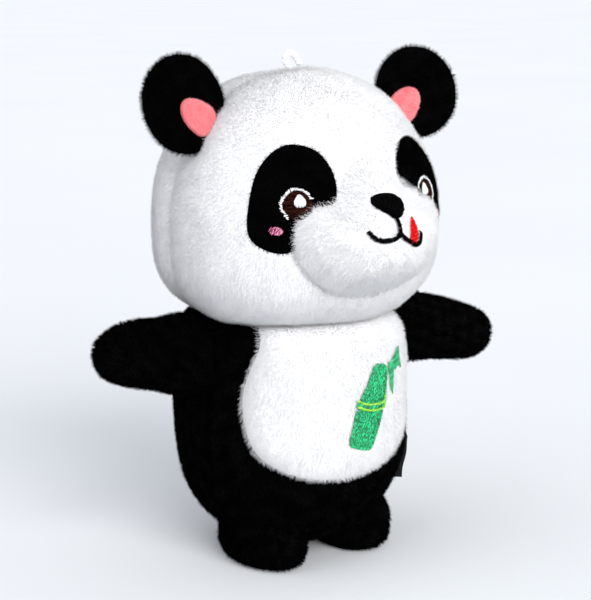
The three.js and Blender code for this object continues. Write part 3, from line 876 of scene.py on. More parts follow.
@dataclass(frozen=True)
class Thread:
    """One colour of thread as it is laid: how thick, how close, how long and how high its stitches are."""

    finish: ThreadFinish
    slot: Slot
    width: float = 0.42
    pitch: float = 0.3
    reach: float = 2.4
    arch: float = 0.22
    fray: float = 0.05

    def rows(self, outline: Array, degrees: float) -> list:
        """Stitches in rows over an outline, the long ones broken into staggered runs.

        Args:
            outline: the outline to fill.
            degrees: the direction of the stitches from the X axis.

        Returns:
            Pairs of end points.
        """
        a = math.radians(degrees)
        turn = np.array([[math.cos(a), math.sin(a)], [-math.sin(a), math.cos(a)]])
        flat = outline @ turn.T
        nxt = np.roll(flat, -1, axis=0)
        stitches = []
        levels = np.arange(flat[:, 1].min() + self.pitch / 2, flat[:, 1].max(), self.pitch)
        for row, level in enumerate(levels):
            crosses = (flat[:, 1] > level) != (nxt[:, 1] > level)
            p, q = flat[crosses], nxt[crosses]
            ends = np.sort(p[:, 0] + (level - p[:, 1]) / (q[:, 1] - p[:, 1]) * (q[:, 0] - p[:, 0]))
            for left, right in zip(ends[0::2], ends[1::2]):
                if right - left < 0.25:
                    continue
                cuts = [left]
                mark = left + self.reach * ((row * 0.37) % 1.0)
                while mark < right - 0.35 * self.reach:
                    if mark > left + 0.35 * self.reach:
                        cuts.append(mark)
                    mark += self.reach
                cuts.append(right)
                stitches += [(np.array([u, level]) @ turn, np.array([v, level]) @ turn)
                             for u, v in zip(cuts[:-1], cuts[1:])]
        return stitches

    def band(self, line: Array, width: float, slant: float = 0.15) -> list:
        """Satin stitches side by side across a band that follows a line."""
        length = np.linalg.norm(np.diff(line, axis=0), axis=1).sum()
        spots = evenly(line, max(3, int(length / self.pitch)))
        along = unit(np.gradient(spots, axis=0))
        across = np.stack([-along[:, 1], along[:, 0]], axis=1) * width / 2
        lag = along * slant
        return [(c - n - s, c + n + s) for c, n, s in zip(spots, across, lag)]

    def sew(self, name: str, stitches: list, ground: Ground, lift: float, seed: int,
            behind: bool = False, glint_and_shade: tuple = (0.0, 1.0)) -> Object:
        """Lays stitches on a surface as one piece of thread work.

        Args:
            name: the piece's name.
            stitches: pairs of end points, rows of x and z.
            ground: the surface underneath.
            lift: how far the ends of the stitches stand off.
            seed: picks the small irregularities.
            behind: sews on the back of the surface.
            glint_and_shade: the range of the stitches' tones, a painted lightness from 0 for painted shade to
                1 for painted glint.

        Returns:
            The embroidered piece.
        """
        rng = np.random.default_rng(seed)
        ends = np.array(stitches) + rng.normal(0.0, self.fray, (len(stitches), 2, 2))
        shares = np.array([0.0, 0.22, 0.5, 0.78, 1.0])
        spots = ends[:, None, 0] + shares[None, :, None] * (ends[:, None, 1] - ends[:, None, 0])
        places, out = ground.lay(spots.reshape(-1, 2), behind)
        count, stations, sides = len(stitches), len(shares), 6
        places, out = places.reshape(count, stations, 3), out.reshape(count, stations, 3)
        span = np.linalg.norm(ends[:, 1] - ends[:, 0], axis=1)
        hump = np.minimum(self.arch, span * 0.16)[:, None] * np.sin(shares * math.pi)[None]
        level = lift + hump + rng.normal(0.0, 0.03, (count, 1))
        middle = places + out * level[:, :, None]
        along = unit(middle[:, -1] - middle[:, 0])[:, None]
        side = unit(np.cross(out, along))
        girth = self.width / 2 * np.array([0.5, 0.92, 1.0, 0.92, 0.5])[None, :, None]
        girth = girth * rng.uniform(0.9, 1.12, (count, 1, 1))
        rings = []
        for k in range(sides):
            a = 2.0 * math.pi * k / sides
            rings.append(middle + side * girth * math.cos(a) + out * girth * 0.75 * math.sin(a))
        points = np.stack(rings, axis=2).reshape(-1, 3)
        faces = []
        for s in range(count):
            start = s * stations * sides
            faces.append(tuple(start + k for k in range(sides)))
            faces.append(tuple(start + (stations - 1) * sides + k for k in reversed(range(sides))))
            for j in range(stations - 1):
                for k in range(sides):
                    p, q = start + j * sides + k, start + j * sides + (k + 1) % sides
                    faces.append((p, p + sides, q + sides, q))
        piece = smooth(new_piece(name, points, faces))
        # Each stitch gets a random tone within the range: painted glints and painted shade.
        toned(piece, np.repeat(rng.uniform(*glint_and_shade, count), stations * sides))
        return dress(piece, self.finish)


def joined(name: str, pieces: list) -> Object:
    """Joins a few pieces of one finish into the first of them."""
    take(pieces[0])
    for piece in pieces[1:]:
        piece.select_set(True)
    bpy.ops.object.join()
    pieces[0].name = name
    pieces[0].data.name = name
    return pieces[0]


# ---- the room --------------------------------------------------------------------------------------
@dataclass(frozen=True)
class Studio:
    """The camera, the floor and the soft lights."""

    azimuth: float = -33.0
    elevation: float = 12.6
    distance: float = 480.0
    target: tuple = (-0.2, 7.0, 83.9)
    lens: float = 88.08
    floor: tuple = (0.835, 0.86, 0.883)

    def away(self, azimuth: float, elevation: float, distance: float) -> Vector:
        """A place seen from the target at an angle and distance, in metres."""
        a, e = math.radians(azimuth), math.radians(elevation)
        way = Vector((math.sin(a) * math.cos(e), -math.cos(a) * math.cos(e), math.sin(e)))
        return (Vector(self.target) + way * distance) * MM

    def aim(self, thing: Object) -> None:
        """Turns a camera or light towards the target."""
        way = Vector(self.target) * MM - thing.location
        thing.rotation_euler = way.to_track_quat("-Z", "Y").to_euler()

    def camera(self) -> None:
        """Sets the camera."""
        data = bpy.data.cameras.new("camera")
        data.lens = self.lens
        data.clip_start = 0.01
        thing = bpy.data.objects.new("camera", data)
        bpy.context.scene.collection.objects.link(thing)
        thing.location = self.away(self.azimuth, self.elevation, self.distance)
        self.aim(thing)
        bpy.context.scene.camera = thing

    def sky_lamp(self, name: str, azimuth: float, elevation: float, softness: float, power: float,
                 colour: tuple) -> None:
        """Sets one wide, even light that reaches the whole floor.

        Args:
            name: the lamp's name.
            azimuth: where it stands round the panda, in degrees.
            elevation: how high it stands, in degrees.
            softness: how wide it looks from the panda, in degrees.
            power: its strength.
            colour: its tint.
        """
        data = bpy.data.lights.new(name, "SUN")
        data.angle = math.radians(softness)
        data.energy = power
        data.color = colour
        thing = bpy.data.objects.new(name, data)
        bpy.context.scene.collection.objects.link(thing)
        thing.location = self.away(azimuth, elevation, 1000.0)
        self.aim(thing)

    def build(self) -> None:
        """Sets up the floor, the sky light, the lamps and the camera."""
        self.camera()
        bpy.ops.object.select_all(action="DESELECT")
        bpy.ops.mesh.primitive_plane_add(size=80.0, location=(0.0, 0.0, 0.0))
        floor = bpy.context.object
        floor.name = "floor"
        dye = Dye("floor_paper")
        dye.set(Specular_IOR_Level=0.1, Roughness=0.9)
        tint = dye.noise(3.0)
        pale = tuple(min(1.0, k * 1.02) for k in self.floor)
        dye.paint(dye.ramp(tint, [(0.35, self.floor), (0.65, pale)]))
        floor.data.materials.append(dye.material)
        world = bpy.data.worlds.new("room")
        bpy.context.scene.world = world
        world.use_nodes = True
        world.node_tree.nodes["Background"].inputs["Color"].default_value = (0.93, 0.95, 1.0, 1.0)
        world.node_tree.nodes["Background"].inputs["Strength"].default_value = 0.67
        self.sky_lamp("key_lamp", azimuth=-4.0, elevation=26.0, softness=46.0, power=2.75,
                      colour=(1.0, 0.99, 0.975))
        self.sky_lamp("fill_lamp", azimuth=-95.0, elevation=40.0, softness=60.0, power=0.45,
                      colour=(0.95, 0.96, 1.0))
        bpy.context.scene.view_settings.view_transform = "Standard"


# ---- stuffing --------------------------------------------------------------------------------------
def stuffing(name: str, shape: Egg, seed: int) -> Object:
    """Loose filling in the shape of the skin around it, a little lumpy.

    Args:
        name: the piece's name.
        shape: the egg that the filling fills.
        seed: picks its lumps.

    Returns:
        The filling.
    """
    piece = shape.form(name, COARSE)
    points = points_of(piece)
    points = points - normals_of(piece) * (0.35 + 0.35 * waves(points, 7.0, seed))[:, None]
    return dress(smooth(place_points(piece, points)), FillingFinish())


def pack_in(fluff: Object, body: str, node: str) -> None:
    """Lets a filling ride on its body and stand for its node.

    Args:
        fluff: the finished filling.
        body: the body that it rides on.
        node: the node that it stands for.
    """
    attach(fluff, body)
    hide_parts(node)
    report(fluff)


def blown_up(form: Object, held: Field, swell: float) -> Object:
    """Swells a closed form as its filling presses the cloth out between the seams.

    Args:
        form: the finely divided form.
        held: how firmly each place is held, from 0 to 1.
        swell: the furthest that a point moves, in millimetres.

    Returns:
        The form.
    """
    points = points_of(form)
    swollen = points + normals_of(form) * (swell * (1.0 - held(points)))[:, None]
    return place_points(form, swollen)


EYE_PATCH = [(-20.6, 139.2), (-14.9, 137.2), (-12.0, 132.2), (-11.3, 126.2), (-12.6, 121.0), (-17.5, 116.5),
             (-21.5, 110.2), (-27.1, 107.4), (-32.6, 109.1), (-35.3, 113.0), (-35.2, 119.1),
             (-33.0, 127.2), (-29.9, 133.2), (-25.6, 137.6)]
MUZZLE_RIM = [(0, 134), (7, 132), (12, 127), (19, 123), (26, 119.2), (28, 113.5), (27, 107), (22, 100.5),
              (13, 95.5), (0, 93.2), (-13, 96), (-21, 102), (-24.8, 109), (-24.5, 116), (-20, 120.6),
              (-14.2, 122.6), (-10.4, 126), (-6.5, 131.5)]


@dataclass
class Head:
    """The head: a face panel and two back panels over a stuffed egg, open at the neck."""

    shape: Egg = Egg(0.0, 7.0, 112.0, 47.5, 43.5, 48.0, 33.5, 2.06, 3.2)
    seam_y: float = 9.0
    cloth: float = 0.9
    gap: float = 0.15
    neck_cut: float = 80.2
    parting: float = 185.0
    fill: float = 0.85
    pile: Pile = Pile(WHITE_HAIR)
    form: Object = field(init=False)
    ground: Ground = field(init=False)

    def __post_init__(self) -> None:
        """Shapes the whole head, which the panels are cut from and the face is laid on."""
        self.form = self.shape.shrunk(FORM_INSET).form("head_form", FINE)
        self.form = blown_up(self.form, self.seams, SWELL)
        points = points_of(self.form)
        out = normals_of(self.form)
        dent = 0.2 * self.seams(points) - 0.3 * waves(points, 16.0, 11)
        place_points(self.form, points - out * dent[:, None])
        self.ground = Ground(self.form)

    def seams(self, places: Array) -> Array:
        """How close places are to the seams, from 0 to 1."""
        around = np.exp(-np.abs((places[:, 1] - self.seam_y) / 4.5) ** 1.5)
        back = np.exp(-np.abs(places[:, 0] / 4.5) ** 1.5) * smoothstep(0.0, 6.0, places[:, 1] - self.seam_y)
        return np.maximum(around, back)

    def brushed(self, places: Array) -> Array:
        """Hair runs down and outwards from the crown."""
        return places - np.array([0.0, self.seam_y + 4.0, self.parting])

    def trim(self, places: Array) -> Array:
        """Hair is left off under the eye patches and the muzzle."""
        flat = places[:, [0, 2]]
        length = np.ones(len(places))
        front = places[:, 1] < self.seam_y
        covers = [closed_curve(MUZZLE_RIM, 64)]
        covers += [closed_curve(mirrored([(-x, z) for x, z in EYE_PATCH], side), 64) for side in Side]
        for cover in covers:
            length *= np.where(front, smoothstep(0.6, -0.5, inside_by(cover, flat)), 1.0)
        return length

    def face_pile(self, skin: Object, side: Side) -> Object:
        """Grows the hairs of one half of the face."""
        def trim(places: Array) -> Array:
            """Hair grows on this half only."""
            return self.trim(places) * (places[:, 0] * side.value > 0)

        return self.pile.grow(f"face_panel_pile_{side.word}", skin, self.brushed, 100 + side.value, trim)

    def build(self) -> None:
        """Cuts the three panels, gives them their cloth and grows their pile."""
        low = ((0.0, 0.0, self.neck_cut), (0.0, 0.0, -1.0))
        cuts = {
            "face_panel": [((0, self.seam_y - self.gap, 0), (0, 1, 0)), low],
            "head_back_panel_left": [((0, self.seam_y + self.gap, 0), (0, -1, 0)),
                                     ((self.gap, 0, 0), (-1, 0, 0)), low],
            "head_back_panel_right": [((0, self.seam_y + self.gap, 0), (0, -1, 0)),
                                      ((-self.gap, 0, 0), (1, 0, 0)), low],
        }
        for number, (name, planes) in enumerate(cuts.items()):
            skin = bisected(self.form, name + "_cloth", planes)
            if name == "face_panel":
                piles = [self.face_pile(skin, side) for side in Side]
            else:
                piles = [self.pile.grow(name + "_pile", skin, self.brushed, 103 + number)]
            thickened(skin, self.cloth)
            for piece in (skin, *piles):
                dress(piece, WHITE_CLOTH)
                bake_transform(piece)
                report(piece)
            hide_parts(name)
        fluff = stuffing("head_stuffing", self.shape.shrunk(3.2), 31)
        pack_in(fluff, "head", "head_filling")
        drop(self.form)


@dataclass
class Muzzle:
    """The stuffed muzzle, a wide dome of white plush that overlaps the eye patches."""

    head: Head
    height: float = 11.6
    middle: tuple = (0.0, 109.0)
    parting: tuple = (0.0, -48.0, 122.0)
    cloth: float = 0.8
    fill: float = 0.8
    pile: Pile = Pile(WHITE_HAIR, length=1.8, lean=40.0)
    ground: Ground = field(init=False)
    skin: Object = field(init=False)

    def rise(self, share: Array, spots: Array) -> Array:
        """How far the dome stands off the face; it runs out softly under the brow."""
        way = unit(spots - np.array(self.middle))
        brow = smoothstep(0.1, 0.9, way[:, 1])
        chin = smoothstep(-0.5, -1.0, way[:, 1])
        power = 0.8 + 0.81 * brow + 0.75 * chin
        dome = self.height * (1.0 - np.minimum(share, 1.0) ** 2.4) ** power
        return 0.9 * (1.0 - 0.9 * brow) + dome - 1.3 * (share > 0.999) * (1.0 - brow)

    def __post_init__(self) -> None:
        """Shapes the dome, which the nose and the mouth are laid on."""
        rim = closed_curve(MUZZLE_RIM, 120)
        self.skin = laid_patch("muzzle_cover_cloth", rim, self.middle, self.head.ground, self.rise,
                               rings=34, along=FRONT)
        points = points_of(self.skin)
        out = normals_of(self.skin)
        points += out * (0.25 * waves(points, 9.0, 21))[:, None]
        place_points(self.skin, points)
        self.ground = Ground(self.skin)

    def brushed(self, places: Array) -> Array:
        """Hair runs outwards from the nose and down."""
        way = places - np.array(self.parting)
        way[:, 2] -= 6.0
        return way

    def trim(self, places: Array) -> Array:
        """Hair is kept clear of the nose, the mouth and the tongue."""
        flat = places[:, [0, 2]]
        clear = smoothstep(0.2, -0.7, inside_by(closed_curve(NOSE, 48), flat))
        clear *= smoothstep(-0.1, -1.1, inside_by(closed_curve(TONGUE, 32), flat))
        for line in MOUTH:
            clear *= smoothstep(0.5, 1.2, from_line(open_curve(line, 16), flat))
        return clear

    def build(self) -> None:
        """Gives the dome its cloth, its pile and its filling."""
        pile = self.pile.grow("muzzle_cover_pile", self.skin, self.brushed, 120, self.trim)
        thickened(self.skin, self.cloth)
        for piece in (self.skin, pile):
            dress(piece, WHITE_CLOTH)
            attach(piece, "head")
            report(piece)
        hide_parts("muzzle_cover")
        low, high = (np.array(corner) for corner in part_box("muzzle_filling"))
        (x, y, z), (rx, ry, rz) = (low + high) / 2 / MM, (high - low) / 2 / MM
        egg = Egg(x, y + 1.0, z, rx * 0.78, ry * 0.72, rz * 0.78, rz * 0.78, 2.4, 2.4)
        pack_in(stuffing("muzzle_stuffing", egg, 32), "head", "muzzle_filling")


NOSE = [(0.4, 118.0), (2.4, 118.2), (4.2, 119.6), (4.5, 121.6), (3.4, 123.6), (1.5, 124.6), (-1.2, 124.9),
        (-3.4, 124.5), (-4.7, 123.4), (-4.8, 122.0), (-3.8, 120.9), (-2.2, 119.9), (-0.9, 118.7)]
TONGUE = [(8.0, 117.4), (6.4, 115.4), (5.0, 112.9), (3.6, 111.0), (4.6, 110.4), (6.8, 110.8), (8.6, 113.2),
          (8.9, 115.6)]
MOUTH = [
    [(0.6, 118.0), (0.9, 116.0), (0.7, 113.6)],
    [(0.7, 113.6), (-1.4, 112.4), (-4.0, 111.9), (-6.4, 112.2), (-8.0, 113.2), (-8.9, 114.6)],
    [(0.7, 113.6), (2.9, 111.8), (5.6, 110.2), (7.9, 110.6), (9.3, 112.8)],
]


@dataclass
class NoseAndMouth:
    """The bean-shaped nose, the stitched mouth and the tip of a tongue."""

    muzzle: Muzzle
    nose_rise: float = 1.7
    mouth_width: float = 1.3

    def build(self) -> None:
        """Lays the nose, the mouth and the tongue on the muzzle."""
        black = Thread(BLACK_SILK, Slot.BLACK_THREAD, reach=1.4, arch=0.34, fray=0.14)
        red = Thread(RED_SILK, Slot.RED_THREAD, width=0.4, pitch=0.26, reach=4.0)
        line_black = Thread(BLACK_SILK, Slot.BLACK_THREAD, pitch=0.2, arch=0.3, fray=0.09)
        ground = self.muzzle.ground
        rim = closed_curve(NOSE, 56)
        pad = laid_patch("nose_pad", rim, (0.0, 121.8), ground,
                         lambda s, _: 0.4 + self.nose_rise * np.sqrt(np.maximum(0.0, 1.0 - s**3.0)), rings=14)
        bed = Ground(pad)
        stitches = black.sew("nose_stitches", black.rows(rim, 78.0), bed, 0.05, 201)
        toned(pad, np.full(len(pad.data.vertices), 0.2))
        dress(thickened(pad, 0.6), black.finish)
        nose = joined("nose_satin", [pad, stitches])
        rows = []
        for line in MOUTH:
            rows += line_black.band(open_curve(line, 40), self.mouth_width, 0.25)
        mouth = line_black.sew("mouth_satin", rows, ground, 0.85, 202)
        tongue = red.sew("tongue_satin", red.rows(closed_curve(TONGUE, 40), 8.0), ground, 0.75, 203)
        for piece, node in ((nose, "nose"), (mouth, "mouth"), (tongue, "tongue")):
            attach(piece, "head")
            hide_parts(node)
            report(piece)


@dataclass
class Eye:
    """One eye: a bean of black plush with an embroidered iris, arc, highlight and cheek spot."""

    side: Side
    head: Head
    iris: tuple = (-23.4, 121.7)
    radius: float = 4.15
    pile: Pile = Pile(BLACK_HAIR, length=1.3, lean=50.0, density=4.5)

    def at(self, points: list) -> list:
        """Points given for the panda's right eye, put on this eye's side."""
        return mirrored([(-x, z) for x, z in points], self.side)

    def circle(self, cx: float, cz: float, rx: float, rz: float, count: int = 36) -> Array:
        """An oval outline on this eye's side."""
        a = np.linspace(0.0, 2.0 * math.pi, count, endpoint=False)
        spots = [(cx + rx * math.cos(k), cz + rz * math.sin(k)) for k in a]
        return np.array(self.at(spots))

    def build(self) -> None:
        """Lays the patch, its pile and the stitched eye."""
        word, ground = self.side.word, self.head.ground
        cx, cz = self.iris
        rim = closed_curve(self.at(EYE_PATCH), 96)
        skin = laid_patch(f"eye_patch_{word}_cloth", rim, self.at([(-23.4, 123.0)])[0], ground,
                          lambda s, _: 0.75 - 0.9 * np.maximum(0.0, (s - 0.9) / 0.1) ** 2, rings=20)
        iris = self.circle(cx, cz, self.radius, self.radius)
        spot = self.circle(-29.3, 114.6, 1.75, 1.25)
        arc = open_curve(self.at([(-26.4, 118.2), (-27.6, 121.7), (-26.2, 125.0), (-23.3, 126.6),
                                  (-20.8, 125.7), (-19.5, 123.8)]), 40)

        def trim(places: Array) -> Array:
            """Hair is kept clear of the stitching."""
            flat = places[:, [0, 2]]
            clear = smoothstep(0.35, -0.3, inside_by(iris, flat))
            clear *= smoothstep(0.3, -0.3, inside_by(spot, flat))
            return clear * smoothstep(0.4, 0.9, from_line(arc, flat))

        pile = self.pile.grow(f"eye_patch_{word}_pile", skin, downwards, 140 + self.side.value, trim)
        lie = Ground(skin)
        for piece in (thickened(skin, 0.7), pile):
            dress(piece, BLACK_CLOTH)
            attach(piece, "head")
            report(piece)
        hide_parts(f"eye_patch_{word}")
        brown = Thread(BROWN_SILK, Slot.BROWN_THREAD, width=0.36, pitch=0.32, reach=2.0, arch=0.3, fray=0.1)
        white = Thread(WHITE_SILK, Slot.WHITE_THREAD, width=0.34, pitch=0.36, fray=0.13)
        glow = Thread(WHITE_SILK, Slot.WHITE_THREAD, width=0.38, pitch=0.22, reach=4.0)
        pink = Thread(PINK_SILK, Slot.PINK_THREAD, width=0.36, pitch=0.34, reach=1.4, fray=0.12)
        light = closed_curve(self.at([(-22.6, 125.1), (-21.2, 123.4), (-21.3, 121.8), (-22.7, 121.2),
                                      (-24.1, 121.8), (-24.0, 123.4)]), 30)
        work = {
            f"iris_{word}": (brown, brown.rows(iris, 4.0), 0.55),
            f"eye_highlight_{word}": (glow, glow.rows(light, 85.0), 0.95),
            f"eye_arc_{word}": (white, white.band(arc, 0.7, 0.25), 0.8),
            f"cheek_spot_{word}": (pink, pink.rows(spot, 60.0), 0.75),
        }
        for seed, (node, (thread, stitches, lift)) in enumerate(work.items(), 210):
            piece = thread.sew(node + "_satin", stitches, lie, lift, seed)
            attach(piece, "head")
            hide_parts(node)
            report(piece)


# ---- ears ------------------------------------------------------------------------------------------
@dataclass
class Ear:
    """One cupped ear: plush in front and behind, with a pink velour half-oval at its root."""

    side: Side
    base: float = 47.6
    angle: float = 49.5
    turn: float = 14.0
    radius: float = 14.8
    middle: float = 9.0
    half_thick: float = 3.7
    cup: float = 4.2
    depth_y: float = 4.0
    head_z: float = 112.0
    pile: Pile = Pile(BLACK_HAIR, length=1.6, lean=38.0, density=4.5)
    velour: Pile = Pile(PINK_HAIR, length=0.6, width=0.24, lean=45.0, density=7.0)

    def placed(self, points: Array) -> Array:
        """Puts points of the ear's own frame on the head."""
        points = turned(points, "Z", -self.side.value * self.turn)
        points = points + UP * (self.base + 1.2)
        points = turned(points, "Y", self.side.value * self.angle)
        return points + np.array([0.0, self.depth_y, self.head_z])

    def settle(self, piece: Object) -> Object:
        """Moves a finished piece of the ear to its place on the head."""
        return place_points(piece, self.placed(points_of(piece)))

    def build(self) -> None:
        """Shapes the ear in its own frame, then sews it to the head."""
        word = self.side.word
        form = ball("ear_form", MEDIUM)
        ways = unit(points_of(form))
        shape = Egg(0.0, 0.0, self.middle, self.radius, self.half_thick, self.radius, self.radius, 2.0, 2.0)
        points = shape.shaped(ways)
        spread = (points[:, 0] ** 2 + (points[:, 2] - self.middle) ** 2) / self.radius**2
        points[:, 1] += 1.4 - self.cup * spread
        points[:, 1] += 0.25 * waves(points, 7.0, 41)
        place_points(form, points)
        root = ((0.0, 0.0, -2.6), (0.0, 0.0, -1.0))
        front = bisected(form, f"ear_front_{word}_cloth", [root])
        back = copy_of(front, f"ear_back_{word}_cloth")
        for piece, keep_front in ((front, True), (back, False)):
            take(piece)
            bpy.ops.object.mode_set(mode="EDIT")
            bpy.ops.mesh.select_all(action="DESELECT")
            bpy.ops.object.mode_set(mode="OBJECT")
            for polygon in piece.data.polygons:
                polygon.select = (polygon.normal.y < 0.0) != keep_front
            bpy.ops.object.mode_set(mode="EDIT")
            bpy.ops.mesh.delete(type="FACE")
            bpy.ops.object.mode_set(mode="OBJECT")
        ground = Ground(front)
        a = np.linspace(0.0, 2.0 * math.pi, 64, endpoint=False)
        oval = np.stack([5.3 * np.cos(a), 1.0 + np.where(np.sin(a) > 0, 8.8, 4.4) * np.sin(a)], axis=1)
        inner = laid_patch(f"ear_inner_{word}_cloth", oval, (0.0, 2.0), ground,
                           lambda s, _: 0.9 - 1.0 * np.maximum(0.0, (s - 0.9) / 0.1) ** 2, rings=12)

        def outwards(places: Array) -> Array:
            """Hair runs from the root of the ear to its rim."""
            return places - np.array([0.0, 0.0, -4.0])

        def trim(places: Array) -> Array:
            """Hair is left off under the velour."""
            return smoothstep(0.5, -0.4, inside_by(oval, places[:, [0, 2]]))

        piles = {
            f"ear_front_{word}": self.pile.grow(f"ear_front_{word}_pile", front, outwards, 150, trim),
            f"ear_back_{word}": self.pile.grow(f"ear_back_{word}_pile", back, outwards, 151),
            f"ear_inner_{word}": self.velour.grow(f"ear_inner_{word}_pile", inner, outwards, 152),
        }
        skins = {f"ear_front_{word}": front, f"ear_back_{word}": back, f"ear_inner_{word}": inner}
        for node, skin in skins.items():
            cloth, slot = BLACK_CLOTH, Slot.BLACK_PLUSH
            if skin is inner:
                cloth, slot = PINK_CLOTH, Slot.PINK_VELOUR
            thickened(skin, 0.5)
            for piece in (skin, piles[node]):
                self.settle(piece)
                dress(piece, cloth)
                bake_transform(piece)
                report(piece)
            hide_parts(node)
        drop(form)


# ---- body ------------------------------------------------------------------------------------------
BELLY = [(0, 31.5), (10, 32.2), (17.5, 34), (23.5, 37), (27.8, 41), (30.6, 48), (31.4, 59), (29.8, 68),
         (27.4, 75), (25.0, 81.0), (22.0, 82.6), (12.0, 83.0), (0, 83.0), (-12.0, 83.0), (-22.0, 82.6),
         (-25.0, 81.0), (-27.4, 75), (-29.8, 68), (-31.4, 59), (-30.6, 48), (-27.8, 41), (-23.5, 37),
         (-17.5, 34), (-10, 32.2)]
STALK_LOWER = [(-2.2, 44.6), (-1.2, 43.0), (2.4, 41.6), (5.6, 41.0), (7.0, 42.2), (8.8, 46.0), (11.4, 53.6),
               (6.6, 54.2), (1.2, 55.2), (-0.8, 50.2)]
STALK_UPPER = [(2.0, 57.6), (6.6, 56.0), (12.2, 55.6), (13.1, 60.3), (13.7, 64.5), (13.4, 66.6), (11.6, 67.8),
               (8.4, 68.2), (6.8, 66.4), (4.9, 62.3)]
NODE_RING = [(0.6, 57.0), (3.6, 55.6), (7.4, 54.8), (11.2, 54.9), (11.9, 56.6)]
LEAF_LONG = [(14.4, 67.6), (16.8, 67.6), (17.4, 64.0), (17.1, 59.5), (16.6, 56.6), (15.6, 59.5), (14.8, 63.5)]
LEAF_SHORT = [(14.8, 65.8), (15.8, 68.0), (17.8, 69.8), (19.8, 72.0), (20.8, 68.6), (21.8, 64.2), (19.9, 65.6),
              (18.2, 64.6)]


